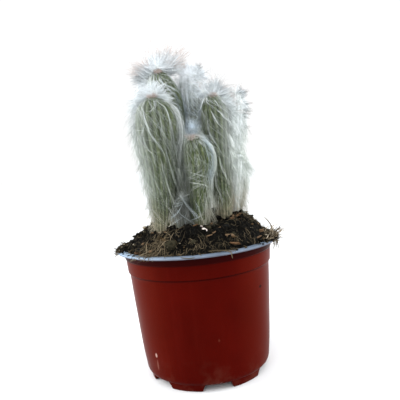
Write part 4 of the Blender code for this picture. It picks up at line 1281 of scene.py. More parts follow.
def locks(stem, rng, k, guides, q0, a0, length, heading, stand, kids, spread, radius, wander=0.16, shade=(0.6, 1.0)):
    """Strands that lie together in bundles and part again."""
    s = np.linspace(0, 1, k)[None, :]
    rows, wid = [], []
    for i in range(guides):
        w1, w2 = rng.uniform(0, TAU), rng.uniform(0, TAU)
        f1, f2 = rng.uniform(0.6, 1.4), rng.uniform(1.8, 3.0)
        head = heading[i] + wander * np.sin(TAU * s * f1 + w1) + 0.5 * wander * np.sin(TAU * s * f2 + w2) + rng.normal(scale=0.03, size=(kids, 1))
        ds = length[i] / (k - 1) * rng.uniform(0.8, 1.05, (kids, 1))
        q = q0[i] + rng.normal(scale=0.7, size=(kids, 1)) + np.concatenate([np.zeros((kids, 1)), np.cumsum(ds * np.cos(head[:, :-1]), axis=1)], axis=1)
        q = np.clip(q, 0.15, stem.soil_q + 0.3)
        rr = np.maximum(stem.radius(q), 2.5)
        part = rng.normal(scale=spread, size=(kids, 1)) * (0.3 + 0.7 * np.abs(np.cos(math.pi * s * rng.uniform(0.7, 1.1) + w1)))
        a = a0[i] + np.concatenate([np.zeros((kids, 1)), np.cumsum(ds * np.sin(head[:, :-1]) / rr[:, :-1], axis=1)], axis=1) + part / rr
        h = stand[i] * (0.2 + 0.8 * np.minimum(1, s * 5)) * (1 + 0.15 * np.sin(TAU * s * 1.3 + w2)) + rng.normal(scale=0.16, size=(kids, 1))
        h = h * (0.25 + 0.75 * near_mix(stem, q))
        rows.append(stem.at(q, a, h))
        wid.append(radius * rng.uniform(0.75, 1.2, kids))
    P = np.concatenate(rows)
    n = len(P)
    lo, hi = (np.repeat(np.broadcast_to(v, (guides,)), kids) for v in shade)
    return dict(P=P, w=widths(n, k, np.concatenate(wid), tip=0.35), shade=rng.uniform(lo, hi), tint=np.zeros((n, k)), seed=int(rng.randint(1e6)))


def guided(stem, rng, strands, k=16):
    """Long strands that run through given places of a stem. Each: height over the skin,
    hairs, their radius, shade and the places as (mm from the apex, degrees round)."""
    s = np.linspace(0, 1, k)
    P, W, S = [], [], []
    for lift, kids, radius, shade, places in strands:
        q, a = np.array([p[0] for p in places], float), np.radians([p[1] for p in places])
        r = np.maximum(stem.radius(q), 2.5)
        steps = np.hypot(np.diff(q), np.diff(a) * 0.5 * (r[1:] + r[:-1]))
        d = np.concatenate([[0.0], np.cumsum(steps)])
        for i in range(kids):
            t0 = rng.uniform(0.0, 0.25) if i > 1 else rng.uniform(0.0, 0.05)
            t1 = rng.uniform(0.60, 1.0) if i > 1 else rng.uniform(0.92, 1.0)
            t = d[-1] * (t0 + (t1 - t0) * s)
            qq = np.array([smooth_curve(list(zip(d, q)), v) for v in t])
            aa = np.array([smooth_curve(list(zip(d, a)), v) for v in t])
            rr = np.maximum(stem.radius(qq), 2.5)
            ph, ps = rng.uniform(0, TAU), rng.uniform(0, TAU)
            wave = 0.28 * np.sin(t * 0.22 + ph) + 0.14 * np.sin(t * 0.55 + ps)
            fray = rng.normal(scale=1.5) * s ** 2.2 if rng.uniform() < 0.5 else 0.0
            part = rng.normal(scale=0.38) + wave + fray
            qq = np.clip(qq + 0.4 * wave, 0.3, stem.soil_q + 0.4)
            h = lift * (0.15 + 0.85 * np.minimum(1, s * 6)) * rng.uniform(0.7, 1.2) + 0.2 * wave
            P.append(stem.at(qq, aa + part / rr, h))
            W.append(radius * rng.uniform(0.75, 1.2))
            S.append(np.clip(shade + rng.normal(scale=0.10), 0, 1))
    P, W, S = np.array(P), np.array(W), np.array(S)
    return dict(P=P, w=widths(len(P), k, W, tip=0.35), shade=S, tint=np.zeros((len(P), k)), seed=int(rng.randint(1e6)))


def loose(rng, strands, k=12):
    """Hairs through given places in mm: number, radius, shade, spread, places."""
    s = np.linspace(0, 1, k)
    P, W, S = [], [], []
    for kids, radius, shade, spread, places in strands:
        pts = np.array(places, float)
        d = np.concatenate([[0], np.cumsum(np.linalg.norm(np.diff(pts, axis=0), axis=1))])
        for i in range(kids):
            t = d[-1] * s * rng.uniform(0.85, 1.0)
            line = np.stack([[smooth_curve(list(zip(d, pts[:, c])), v) for v in t] for c in range(3)], axis=1)
            w = rng.uniform(0, TAU)
            P.append(line + rng.normal(scale=spread, size=3) * (0.25 + 0.75 * s[:, None] ** 0.7) * (0.6 + 0.4 * np.sin(3 * s[:, None] + w)))
            W.append(radius * rng.uniform(0.7, 1.2))
            S.append(np.clip(shade + rng.normal(scale=0.08), 0, 1))
    P, W, S = np.array(P), np.array(W), np.array(S)
    return dict(P=P, w=widths(len(P), k, W, tip=0.35), shade=S, tint=np.zeros((len(P), k)), seed=int(rng.randint(1e6)))


def burst(rng, strands, k=5):
    """Stars of fine hair: number, middle, reach, flatness towards the viewer, radius, shades
    in and out, lowest direction, tint of the tips."""
    P, W, S, T = [], [], [], []
    s = np.linspace(0, 1, k)
    ahead, over = np.array(LOOK_AHEAD), np.array(LOOK_UP)
    for kids, middle, reach, flat, radius, inner, outer, low, tips in strands:
        for _ in range(kids):
            d = rng.normal(size=3)
            d -= ahead * (d @ ahead) * flat
            d /= np.linalg.norm(d)
            if d @ over < low:
                d -= 1.6 * over * (d @ over)
                d /= np.linalg.norm(d)
            L = rng.uniform(*reach)
            bow = rng.normal(scale=0.10 * L, size=3)
            P.append(np.array(middle) + rng.normal(scale=0.35, size=3) + s[:, None] * d * L + (s * (1 - s))[:, None] * bow * 4 - (s ** 2)[:, None] * np.array([0, 0, 0.08 * L]))
            W.append(radius * rng.uniform(0.7, 1.2))
            S.append(np.clip(inner + (outer - inner) * s + rng.normal(scale=0.05), 0, 1))
            T.append(tips * rng.uniform(0.3, 1.0) * np.clip((s - 0.55) / 0.35, 0, 1))
    P, W, S = np.array(P), np.array(W), np.array(S)
    return dict(P=P, w=widths(len(P), k, W, tip=0.4), shade=S, tint=np.array(T), seed=int(rng.randint(1e6)))


def reach_at(d, profile):
    """Length of a crown's hair by its direction in the front view: (degrees, mm) rows."""
    angle = math.degrees(math.atan2(float(np.dot(d, LOOK_UP)), float(np.dot(d, LOOK_RIGHT))))
    if angle < -90:
        angle += 360
    return float(np.interp(angle, [p[0] for p in profile], [p[1] for p in profile]))


def tuft(rng, root, d, length, kids, k, fall, radius, core, gather, root_spread, reach, bow=0.075):
    """One pointed clump: a few thick soft strands wrapped in fine ones."""
    s = np.linspace(0, 1, k)[None, :, None]
    tip_at = root + d * length + fall
    sideways = rng.normal(size=(kids, 3))
    sideways -= (sideways @ d)[:, None] * d
    thick = np.arange(kids) < core[0]
    sideways[thick] *= 0.35
    r0 = root + sideways * root_spread
    t0 = tip_at + sideways * root_spread * (1 - gather) * 1.3 + rng.normal(scale=0.035 * length, size=(kids, 3))
    m0 = root + d * length * 0.5 + sideways * root_spread * 0.95 + fall * 0.12 + rng.normal(scale=bow * length, size=(kids, 3))
    u = s * rng.uniform(*reach, (kids, 1, 1))
    u[thick] *= 0.86
    P = (1 - u) ** 2 * r0[:, None, :] + 2 * u * (1 - u) * m0[:, None, :] + u ** 2 * t0[:, None, :]
    w = widths(kids, k, radius * rng.uniform(0.7, 1.25, kids), tip=0.5, root=0.9, hold=0.7)
    t = np.linspace(0, 1, k)
    spindle = np.clip((1 - t) / 0.62, 0, 1) ** 0.85 * (0.55 + 0.45 * np.minimum(1, t * 4)) + 0.03
    w[thick] = core[1] * rng.uniform(0.7, 1.2, (int(thick.sum()), 1)) * spindle[None, :]
    return P, w


def gather_tufts(rng, rows, k, shade, tint, tips, glow, tips_from):
    P = np.concatenate([r[0] for r in rows])
    w = np.concatenate([r[1] for r in rows])
    tone = []
    for r in rows:
        kids = len(r[0])
        tn = np.zeros((kids, k)) + tint
        if tips > 0:
            tn = tn + rng.uniform(0.4, 1.0) * tips * np.clip((np.linspace(0, 1, k)[None, :] - tips_from) / (0.9 - tips_from), 0, 1)
        tone.append(tn)
    n = len(P)
    sh = rng.uniform(shade[0], shade[1], n)[:, None] + glow * np.linspace(1, 0, k)[None, :]
    return dict(P=P, w=w, shade=np.clip(sh, 0, 1), tint=np.clip(np.concatenate(tone), 0, 1), seed=int(rng.randint(1e6)))


def crown(stem, rng, at, clumps, kids, length, ring=(1.5, 5.0), spread=100.0, front=0.3, up=(0, 0, 0), tall=0.0, fan=0.0, fan_to=90.0, droop=0.12,
          radius=0.10, core=(1, 0.45), tips=0.0, tint=0.0, gather=0.72, k=6, shade=(0.5, 1.0), sector=None, root_spread=0.8, reach=(0.78, 1.0),
          profile=None, mess=0.12, bow=0.075, glow=0.0, tips_from=0.55):
    """Hair of a growing tip: pointed clumps that radiate from a place on the dome, as in a
    half-opened ball. Directions round the place are in degrees, 0 to the viewer's right,
    90 up and back; none leans to the front by more than the given share."""
    qc, ac = at[0], math.radians(at[1])
    one = np.array([1.0])
    O = stem.at(one * qc, one * ac, 0.0)[0]
    N = stem.at(one * qc, one * ac, 1.0)[0] - O
    N /= np.linalg.norm(N)
    T1 = np.array([1.0, 0, 0]) - N * N[0]
    T1 /= np.linalg.norm(T1)
    T2 = np.cross(N, T1)
    R = max(3.0, stem.shoulder_r)
    low = math.cos(math.radians(spread))
    rows = []
    while len(rows) < clumps:
        phi = rng.uniform(0, TAU) if sector is None else math.radians(rng.uniform(*sector))
        c = rng.uniform(low, 1.0)
        sn = math.sqrt(1 - c * c)
        if sn * math.sin(phi) < -front:
            continue
        rho = (ring[0] + (ring[1] - ring[0]) * (sn if c > 0 else 1.0)) * rng.uniform(0.75, 1.1)
        radial = math.cos(phi) * T1 + math.sin(phi) * T2
        root = O + rho * radial - N * (rho * rho / (2 * R)) - 0.5 * N
        d = N * c + radial * sn + np.array(up) + rng.normal(scale=mess, size=3)
        d /= np.linalg.norm(d)
        L = rng.uniform(*length) * (1 + fan * max(0.0, math.cos(phi - math.radians(fan_to)))) * (1 + tall * max(0.0, c))
        if profile:
            flat = math.sqrt(max(0.0, 1 - float(np.dot(d, LOOK_AHEAD)) ** 2))
            L = (rng.uniform(*length) * reach_at(d, profile) - max(0.0, float(np.dot(root - O, d)))) / max(0.7, flat)
        fall = np.array([0, 0, -1.0]) * droop * L * rng.uniform(0.2, 1.0)
        rows.append(tuft(rng, root, d, L, kids, k, fall, radius, core, gather, root_spread, reach, bow))
    return gather_tufts(rng, rows, k, shade, tint, tips, glow, tips_from)


def spray(stem, rng, clumps, kids, q, a, length, out=1.0, down=0.0, side=0.0, jitter=0.18, up=(0, 0, 0), droop=0.1, radius=0.09,
          core=(1, 0.35), tips=0.0, tint=0.0, gather=0.7, k=5, shade=(0.5, 1.0), root_spread=0.9, reach=(0.75, 1.0), bow=0.075, glow=0.0, tips_from=0.55):
    """Clumps that stand off a stretch of a stem's side: q and a (degrees) are ranges."""
    rows = []
    one = np.array([1.0])
    for _ in range(clumps):
        q0, a0 = rng.uniform(*q), math.radians(rng.uniform(*a))
        O = stem.at(one * q0, one * a0, -0.4)[0]
        N = stem.at(one * q0, one * a0, 0.6)[0] - O
        D = stem.at(one * (q0 + 1.0), one * a0, -0.4)[0] - O
        D /= np.linalg.norm(D)
        S = np.cross(N, D)
        d = N * out + D * down - S * side + np.array(up) + rng.normal(scale=jitter, size=3)
        d /= np.linalg.norm(d)
        L = rng.uniform(*length)
        fall = np.array([0, 0, -1.0]) * droop * L * rng.uniform(0.2, 1.0)
        rows.append(tuft(rng, O, d, L, kids, k, fall, radius, core, gather, root_spread, reach, bow))
    return gather_tufts(rng, rows, k, shade, tint, tips, glow, tips_from)


COATS = {
    # cover, stand, felt and the hair's painted shade by side: front, right, back, left
    "stem_front_left": dict(
        lock_shade=(0.40, 0.80), old=34, cover=(0.48, 1.3, 1.1, 2.8), stand=(1.0, 3.4, 3.2, 6.0), felt=(0, 0.0, 0.3, 0.3), felt_to=80, drift=26, painted_shade=(0.33, 0.8, 1, 0.92), edge=(76, 94, 56, 80), left_lean=0.1,
        fuzz=2880, fuzz_len=(7, 15), lines=280, locks=9, top=-0.7, shade=(0.0, 0.9), cross=27,
        crowns=[dict(at=(1.4, 180), clumps=88, kids=8, length=(0.72, 1.08), profile=((-60, 8), (0, 9), (28, 11), (45, 12.5), (58, 15), (66, 16), (74, 13.5), (86, 17), (97, 14.5), (115, 12.5), (131, 13.2), (149, 14.5), (180, 13), (200, 11), (270, 8)),
                     ring=(0.8, 4.2), spread=92, front=0.10, up=(0.03, 0, 0.35), droop=0.10, core=(2, 0.34), gather=0.85, tips=0.1, shade=(0.26, 0.50), mess=0.2, bow=0.11, glow=0.16),
                dict(at=(1.0, 0), clumps=26, kids=5, length=(6, 10), ring=(0.5, 4.0), spread=80, front=1, up=(0, 0, 0.5), core=(0, 0), radius=0.07, shade=(0.45, 0.75), mess=0.3, bow=0.12, droop=0.25),
                dict(at=(3.0, 0), clumps=60, kids=6, length=(1.6, 4.0), ring=(0.2, 3.4), spread=65, front=1, tint=0.52, shade=(0.65, 1.0), radius=0.09, core=(0, 0), k=4, droop=0.0)],
        loose=[(16, 0.042, 0.22, 1.8, ((-17.6, -33.0, 188.0), (-15.3, -33.0, 174.5), (-12.4, -34.0, 159.5), (-8.5, -38.0, 146.1))),
               (14, 0.042, 0.20, 1.8, ((-13.1, -30.0, 196.4), (-11.8, -31.0, 180.1), (-9.7, -34.0, 163.7), (-6.0, -37.0, 148.7))),
               (12, 0.042, 0.18, 1.7, ((-10.4, -28.0, 202.2), (-9.3, -30.0, 183.5), (-6.5, -33.0, 166.3), (-2.8, -36.0, 151.3))),
               (10, 0.042, 0.24, 1.5, ((-21.3, -32.0, 173.6), (-18.4, -34.0, 158.6), (-15.3, -38.0, 143.8), (-13.5, -40.0, 132.1)))],
        stars=[(70, (-21.9, -20.0, 227.5), (5.0, 12.0), 0.8, 0.058, 0.50, 0.34, -0.1, 0.2),
               (44, (-21.6, -21.5, 224.5), (10.0, 18.5), 0.75, 0.100, 0.66, 0.50, 0.25, 0.0)],
        sprays=[dict(clumps=26, kids=5, q=(2.5, 7), a=(-95, -38), length=(7, 12), out=0.22, down=1.0, side=0.2, radius=0.055, core=(0, 0), droop=0.15, shade=(0.25, 0.6)),
                dict(clumps=26, kids=5, q=(2.5, 7), a=(38, 95), length=(8, 15), out=0.22, down=1.0, side=-0.1, radius=0.055, core=(0, 0), droop=0.15, shade=(0.25, 0.6)),
                dict(clumps=18, kids=5, q=(84, 108), a=(-125, -70), length=(6, 11), out=0.9, down=0.7, radius=0.065, core=(0, 0), droop=0.2, shade=(0.2, 0.8)),
                dict(clumps=30, kids=7, q=(4, 14), a=(-130, -75), length=(9, 15), out=0.7, down=0.9, droop=0.2, core=(1, 0.3), shade=(0.3, 0.7)),
                dict(clumps=12, kids=7, q=(4, 12), a=(60, 140), length=(9, 15), out=0.5, down=0.9, droop=0.2, core=(1, 0.25), shade=(0.3, 0.75)),
                dict(clumps=26, kids=5, q=(82, 104), a=(20, 120), length=(7, 14), out=0.5, down=0.9, side=0.3, radius=0.07, core=(0, 0), droop=0.2, shade=(0.1, 0.7))],
        strands=[(1.5, 8, 0.068, 0.40, ((8, -30), (11.1, -32), (13.9, -34), (19.1, -32), (24.3, -26), (31.1, -21), (37.1, -14), (43.1, -3), (47.9, 7), (52.7, 14), (58.3, 20), (66, 27))),
                 (1.7, 6, 0.062, 0.46, ((10.0, 9), (13.5, 8), (18.7, 2), (21.5, -10), (23.9, -20))),
                 (1.3, 6, 0.056, 0.36, ((19.1, 10), (23.9, 14), (30.7, 14), (36.7, 16), (42.7, 24), (47.1, 32), (51.9, 40))),
                 (1.4, 8, 0.056, 0.39, ((9.0, 18), (13.1, 22), (18.3, 36), (23.9, 40), (29.9, 40), (35.1, 40), (40.7, 39), (46.7, 42), (52.3, 45), (57.9, 53))),
                 (1.2, 6, 0.062, 0.39, ((31.1, -33), (36.7, -38), (41.9, -36), (47.5, -30), (51.5, -18), (55.1, -14), (58.7, -14), (66, -8))),
                 (1.2, 6, 0.05, 0.31, ((26.7, -29), (32.7, -33), (38.7, -46), (44.7, -50), (51.1, -51))),
                 (4.2, 16, 0.056, 0.69, ((12, 44), (17, 66), (22, 80), (29, 86), (38, 82), (46.7, 72), (54.7, 64), (62, 58))),
                 (3.6, 12, 0.052, 0.57, ((16, 60), (24, 76), (34, 78), (46, 70), (58, 62), (70, 60), (80, 66))),
                 (1.1, 6, 0.056, 0.34, ((63.9, -51), (70.3, -27), (78.3, -9), (84.7, 0), (92.7, 20), (101.1, 40))),
                 (1.1, 4, 0.056, 0.36, ((54.7, 3), (62.3, 7), (68.7, 2), (75.5, 9), (81.9, 21))),
                 (1.1, 6, 0.062, 0.42, ((69.5, 21), (75.9, 22), (82.3, 32), (91.1, 50), (97.1, 60))),
                 (1.2, 4, 0.056, 0.31, ((59.5, 36), (68.3, 42), (76.7, 60), (85.1, 88))),
                 (1.6, 6, 0.056, 0.46, ((84, -84), (90, -66), (96.0, -36), (101, -12), (105.5, 10), (108.5, 38))),
                 (1.1, 4, 0.056, 0.31, ((66.7, -34), (74.7, -30), (83.5, -32), (91.9, -33), (102.3, -22)))]),
    "stem_front_small": dict(
        cover=(0.55, 2.2, 1.2, 1.9), stand=(0.9, 2.8, 1.8, 1.6), felt=(0, 0, 0, 0), felt_to=0, drift=6, painted_shade=(0.50, 1.0, 1, 0.26), added_groove_shade=0.05, edge=(26, 56, 24, 52),
        fuzz=2100, fuzz_len=(4, 10), lines=120, locks=2, top=0.9, shade=(0.0, 0.62), cross=24,
        crowns=[dict(at=(0.8, 180), clumps=34, kids=6, length=(0.6, 1.0), profile=((-60, 7), (0, 9), (30, 10), (60, 11), (90, 12.5), (120, 11), (150, 10), (180, 9), (270, 7)),
                     ring=(0.4, 2.4), spread=95, front=0.5, up=(0, -0.1, 0.4), radius=0.06, core=(0, 0), gather=0.5, shade=(0.0, 0.25), droop=0.1, mess=0.4, bow=0.16, glow=0.2),
                dict(at=(5.0, 10), clumps=40, kids=5, length=(4, 8), ring=(0.5, 6.0), spread=80, front=1, up=(0.1, -0.1, -0.5), core=(0, 0), radius=0.055, shade=(0.05, 0.55), mess=0.4, bow=0.14, droop=0.4),
                dict(at=(3.8, -6), clumps=44, kids=6, length=(1.4, 3.4), ring=(0.2, 4.8), spread=70, front=1, tint=0.5, radius=0.08, core=(0, 0), k=4, droop=0.0, shade=(0.1, 0.5))],
        sprays=[dict(clumps=30, kids=5, q=(12, 62), a=(-110, -50), length=(8, 15), out=0.4, down=1.0, side=-0.4, radius=0.06, core=(0, 0), droop=0.2, shade=(0.0, 0.14)),
                dict(clumps=11, kids=5, q=(28, 46), a=(-40, 60), length=(7, 13), out=0.12, down=0.1, side=1.0, radius=0.055, core=(0, 0), droop=0.1, shade=(0.1, 0.42)),
                dict(clumps=30, kids=5, q=(48, 70), a=(20, 120), length=(8, 15), out=0.45, down=0.95, side=0.1, radius=0.065, core=(0, 0), droop=0.2, shade=(0.0, 0.5))],
        stars=[(110, (4.4, -31.0, 195.2), (4.0, 11.5), 0.85, 0.052, 0.60, 0.16, -0.9, 0.0), (80, (4.4, -31.4, 195.4), (1.4, 5.2), 0.8, 0.056, 0.78, 0.46, -0.9, 0.0)],
        loose=[(5, 0.042, 0.56, 0.45, ((-0.2, -38.2, 162.9), (4.7, -39.5, 160.7), (9.6, -38.2, 158.7), (13.7, -33.6, 156.6))),
               (5, 0.042, 0.56, 0.45, ((-2.4, -35.3, 155.6), (3.3, -38.3, 154.2), (8.4, -37.7, 152.9), (13.1, -33.5, 150.3))),
               (4, 0.040, 0.44, 0.45, ((-2.7, -35.5, 159.4), (2.2, -38.4, 157.6), (6.4, -38.3, 155.7), (10.8, -36.4, 154.4))),
               (4, 0.040, 0.44, 0.45, ((0.2, -37.3, 151.8), (4.6, -38.3, 152.2), (9.1, -37.4, 153.2), (13.1, -34.1, 154.8))),
               (8, 0.060, 0.16, 0.70, ((15.6, -24.0, 140.9), (16.0, -23.0, 136.2), (15.7, -22.0, 132.3), (15.7, -21.0, 127.5)))],
        strands=[(2.6, 7, 0.062, 0.63, ((4.0, 14), (5.9, 20), (7.5, 38), (11.9, 54), (17.1, 66), (22.7, 78), (28, 84))),
                 (2.8, 9, 0.056, 0.52, ((7.0, 30), (9.5, 44), (15.1, 62), (20.3, 80), (27.5, 84), (34, 84), (43.9, 80), (50.7, 60), (55, 40))),
                 (2.4, 7, 0.05, 0.4, ((9.0, 40), (13, 62), (20, 74), (30, 76), (40, 72), (50, 70), (58, 74), (66, 84))),
                 (1.4, 4, 0.05, 0.38, ((18, -6), (24.7, -6), (30.3, 4))),
                 (1.4, 4, 0.05, 0.33, ((28.3, -29), (36.3, -33), (41.5, -44))),
                 (1.6, 4, 0.05, 0.38, ((55, 20), (61, 30), (68, 36), (72.5, 44))),
                 (1.6, 4, 0.05, 0.48, ((58, 44), (63, 46), (68, 40), (72.5, 30)))]),
    "stem_right": dict(
        lock_shade=(0.15, 0.48), old=24, cover=(0.34, 1.9, 1.2, 1.2), stand=(1.0, 4.6, 2.6, 2.8), felt=(0, 0.5, 0.3, 0.0), felt_to=60, drift=30, painted_shade=(0.20, 1, 1, 0.36), added_groove_shade=0.16, edge=(56, 80, 46, 76),
        fuzz=2430, fuzz_len=(7, 15), lines=190, locks=8, top=-0.5, shade=(0.0, 0.8), cross=27,
        crowns=[dict(at=(1.2, 180), clumps=92, kids=8, length=(0.72, 1.1), profile=((-60, 12), (-30, 17), (-18, 21), (-8, 24), (5, 22), (25, 22), (45, 20.5), (60, 18.5), (75, 17), (90, 16.5), (104, 17), (120, 16), (140, 16.5), (160, 15.5), (180, 13), (200, 12), (270, 10)),
                     ring=(0.8, 4.4), spread=95, front=0.12, up=(0.12, 0, 0.22), droop=0.08, core=(2, 0.36), gather=0.88, tips=0.6, shade=(0.24, 0.48), mess=0.2, bow=0.10, glow=0.12, tips_from=0.7),
                dict(at=(1.0, 0), clumps=26, kids=5, length=(6, 10), ring=(0.5, 4.0), spread=80, front=1, up=(0, 0, 0.5), core=(0, 0), radius=0.07, shade=(0.45, 0.75), mess=0.3, bow=0.12, droop=0.25),
                dict(at=(3.0, 0), clumps=46, kids=6, length=(1.4, 2.8), ring=(0.2, 3.4), spread=60, front=1, tint=0.60, radius=0.10, core=(0, 0), k=4, droop=0.0)],
        stars=[(90, (23.3, -5.5, 224.6), (7.0, 16.5), 0.85, 0.058, 0.50, 0.30, -0.12, 0.45),
               (64, (26.0, -3.5, 225.6), (9.0, 21.0), 0.85, 0.090, 0.34, 0.06, 0.05, 0.55),
               (90, (16.0, -9.0, 223.2), (6.0, 16.0), 0.85, 0.056, 0.70, 0.34, -0.95, 0.0)],
        sprays=[dict(clumps=30, kids=7, q=(4, 22), a=(60, 120), length=(10, 16), out=0.9, down=0.0, tips=0.5, gather=0.85, shade=(0.2, 0.7)),
                dict(clumps=40, kids=7, q=(6, 60), a=(60, 115), length=(9, 16), out=0.6, down=1.0, side=0.25, shade=(0.3, 0.85), core=(1, 0.3)),
                dict(clumps=34, kids=6, q=(62, 96), a=(-110, -20), length=(8, 15), out=0.4, down=0.95, side=-0.1, radius=0.07, core=(0, 0), shade=(0.05, 0.55))],
        strands=[(1.6, 6, 0.062, 0.64, ((6.3, -39), (11.5, -34), (14.7, -21))),
                 (1.4, 8, 0.067, 0.53, ((18.7, -18), (24.3, -6), (29.5, 6), (33.5, 22), (36, 30))),
                 (1.8, 6, 0.056, 0.62, ((18.7, 6), (25.5, 32), (28.7, 60), (31.5, 80))),
                 (1.4, 8, 0.062, 0.51, ((24.7, -32), (33.5, -27), (40.7, -15), (47.5, 4), (54, 16))),
                 (3.4, 8, 0.052, 0.46, ((5.0, -44), (7.5, -50), (12.7, -50), (17.1, -58), (19.1, -76), (19.9, -92))),
                 (1.5, 4, 0.056, 0.53, ((9.9, 4), (14.7, 10), (18.7, 14))),
                 (1.3, 6, 0.05, 0.42, ((31.1, 32), (40.7, 46), (50.3, 64), (58.3, 86))),
                 (1.4, 6, 0.062, 0.6, ((52.7, 3), (61.5, 4), (70.7, 22), (77.1, 40), (83.1, 70))),
                 (1.4, 6, 0.05, 0.48, ((67.5, -24), (75.9, -30), (85.1, -10), (91.9, -4), (98.3, -16))),
                 (1.4, 6, 0.05, 0.51, ((79.1, 18), (87.5, 40), (95.5, 74)))]),
    "stem_back_right": dict(
        cover=(1.3, 1.5, 1.0, 1.8), stand=(3.4, 4.2, 2.6, 4.6), felt=(0.9, 0.9, 0.8, 0.9), felt_to=200, drift=32, patch=0.0, cross=18,
        fuzz=2150, fuzz_len=(9, 18), lines=150, locks=16, top=0.0, flick=0.9, shade=(0.3, 1.0),
        crowns=[dict(at=(1.0, 0), clumps=50, kids=7, length=(6, 10), ring=(0.2, 5.0), spread=95, front=0.7, up=(0.15, 0, -0.1), core=(2, 0.35), tips=0.4, droop=0.3, gather=0.85, shade=(0.25, 0.75))],
        sprays=[dict(clumps=26, kids=7, q=(3, 34), a=(55, 120), length=(6, 11), out=1.0, down=0.1, tips=0.6, gather=0.95, shade=(0.06, 0.42)),
                dict(clumps=40, kids=7, q=(10, 80), a=(50, 120), length=(9, 16), out=0.55, down=1.0, tips=0.2, shade=(0.2, 0.7), core=(0, 0), radius=0.07, jitter=0.12, gather=0.4)]),
    "stem_low_right": dict(
        cover=(1.4, 1.6, 0.8, 1.2), stand=(3.6, 5.4, 2.6, 3.6), felt=(0.9, 0.9, 0.8, 0.9), felt_to=200, drift=26, patch=0.0, cross=16,
        fuzz=1500, fuzz_len=(8, 15), lines=70, locks=8, top=0.0, flick=0.3, shade=(0.3, 1.0),
        crowns=[dict(at=(2.0, 0), clumps=20, kids=7, length=(3, 6), ring=(0.5, 4.0), spread=95, front=0.9, up=(-0.3, 0, -0.1), core=(2, 0.3), droop=0.5, shade=(0.3, 0.8))],
        sprays=[dict(clumps=44, kids=7, q=(6, 46), a=(55, 125), length=(11, 17), out=0.5, down=1.0, shade=(0.2, 0.6), core=(0, 0), radius=0.065, droop=0.12, jitter=0.08, gather=0.3)]),
    "stem_back_left": dict(
        cover=(0.40, 0.8, 1.1, 2.2), stand=(1.4, 2.0, 2.6, 6.0), felt=(0.0, 0.0, 0.4, 0.8), felt_to=90, drift=26, painted_shade=(0.50, 0.85, 1, 1), edge=(58, 80, 70, 90),
        fuzz=2300, fuzz_len=(7, 15), lines=130, locks=12, top=0.0, shade=(0.0, 0.85), cross=18,
        crowns=[dict(at=(1.6, 180), clumps=130, kids=9, length=(0.80, 1.32), profile=((-60, 9), (-10, 10), (5, 11), (15, 15), (22, 24), (30, 24), (45, 26.5), (60, 26), (68, 23), (76, 26.5), (90, 26.5), (105, 25), (118, 18), (135, 13.5), (150, 11.5), (180, 12), (270, 9)),
                     ring=(0.8, 5.2), spread=92, front=0.10, up=(0.06, 0, 0.36), tips=0.85, tips_from=0.58, droop=0.05, core=(2, 0.40), radius=0.11, gather=0.85, reach=(0.85, 1.0), shade=(0.36, 0.52), mess=0.26, bow=0.14, glow=0.16),
                dict(at=(1.0, 0), clumps=30, kids=5, length=(7, 12), ring=(0.5, 4.0), spread=80, front=1, up=(0, 0, 0.5), core=(0, 0), radius=0.07, shade=(0.45, 0.75), mess=0.3, bow=0.12, droop=0.25),
                dict(at=(3.4, 0), clumps=66, kids=6, length=(1.6, 3.4), ring=(0.2, 3.0), spread=60, front=1, tint=0.55, shade=(0.75, 1.0), radius=0.11, core=(0, 0), k=4, droop=0.0)],
        sprays=[dict(clumps=40, kids=8, q=(2, 9), a=(-120, -50), length=(17, 24), out=0.2, down=0.0, up=(-1.0, 0.0, 0.30), droop=0.04, jitter=0.24, core=(1, 0.34), radius=0.085, tips=0.7, tips_from=0.45, gather=0.7, shade=(0.32, 0.58), bow=0.12),
                dict(clumps=30, kids=8, q=(8, 15), a=(-115, -60), length=(12, 18), out=0.2, down=0.0, up=(-1.0, 0.0, 0.22), droop=0.05, jitter=0.24, core=(1, 0.30), radius=0.085, tips=0.2, gather=0.7, shade=(0.10, 0.48), bow=0.14),
                dict(clumps=26, kids=8, q=(12, 34), a=(-120, -60), length=(12, 18), out=0.5, down=0.9, droop=0.3, core=(2, 0.36), shade=(0.3, 0.75)),
                dict(clumps=30, kids=7, q=(2, 8), a=(80, 150), length=(15, 23), out=0.4, down=0.0, up=(0.7, 0.1, 0.5), droop=0.12, core=(0, 0), radius=0.075, tips=0.4, tips_from=0.4, gather=0.7, shade=(0.42, 0.62), bow=0.14)],
        stars=[(90, (-17.4, 9.0, 249.0), (6.0, 17.0), 0.85, 0.058, 0.46, 0.36, -0.1, 0.8), (50, (-5.0, 11.0, 244.0), (4.0, 11.0), 0.85, 0.058, 0.5, 0.4, -0.1, 0.7),
               (46, (-17.6, 7.0, 247.0), (8.0, 17.0), 0.75, 0.100, 0.78, 0.58, 0.12, 0.15)],
        strands=[(2, 8, 0.067, 0.42, ((12, -4), (19.1, 9), (23.1, 30), (26.7, 51), (30.7, 63))),
                 (2, 6, 0.067, 0.46, ((9.1, 30), (13.5, 44), (19.9, 52), (27.9, 57))),
                 (1.8, 6, 0.056, 0.39, ((16, 0), (24, 22), (31, 40), (38, 56)))]),
    "stem_back_centre": dict(
        cover=(1.1, 0.9, 1.0, 1.1), stand=(2.6, 2.8, 2.2, 2.8), felt=(0.8, 0.3, 0.6, 1.0), felt_to=30, drift=40, patch=0.0, painted_shade=(0.95, 0.7, 1, 1),
        fuzz=1950, fuzz_len=(7, 15), lines=110, locks=8, top=0.8, shade=(0.6, 1.0), cross=48,
        stars=[(300, (5.6, 12.0, 239.8), (3.0, 9.5), 0.85, 0.080, 0.80, 0.66, -0.9, 0.0), (110, (10.6, 13.0, 239.0), (4.0, 14.0), 0.85, 0.062, 0.62, 0.34, -0.9, 0.5),
               (70, (-1.0, 11.0, 243.0), (3.0, 9.0), 0.85, 0.062, 0.60, 0.50, -0.9, 0.3),
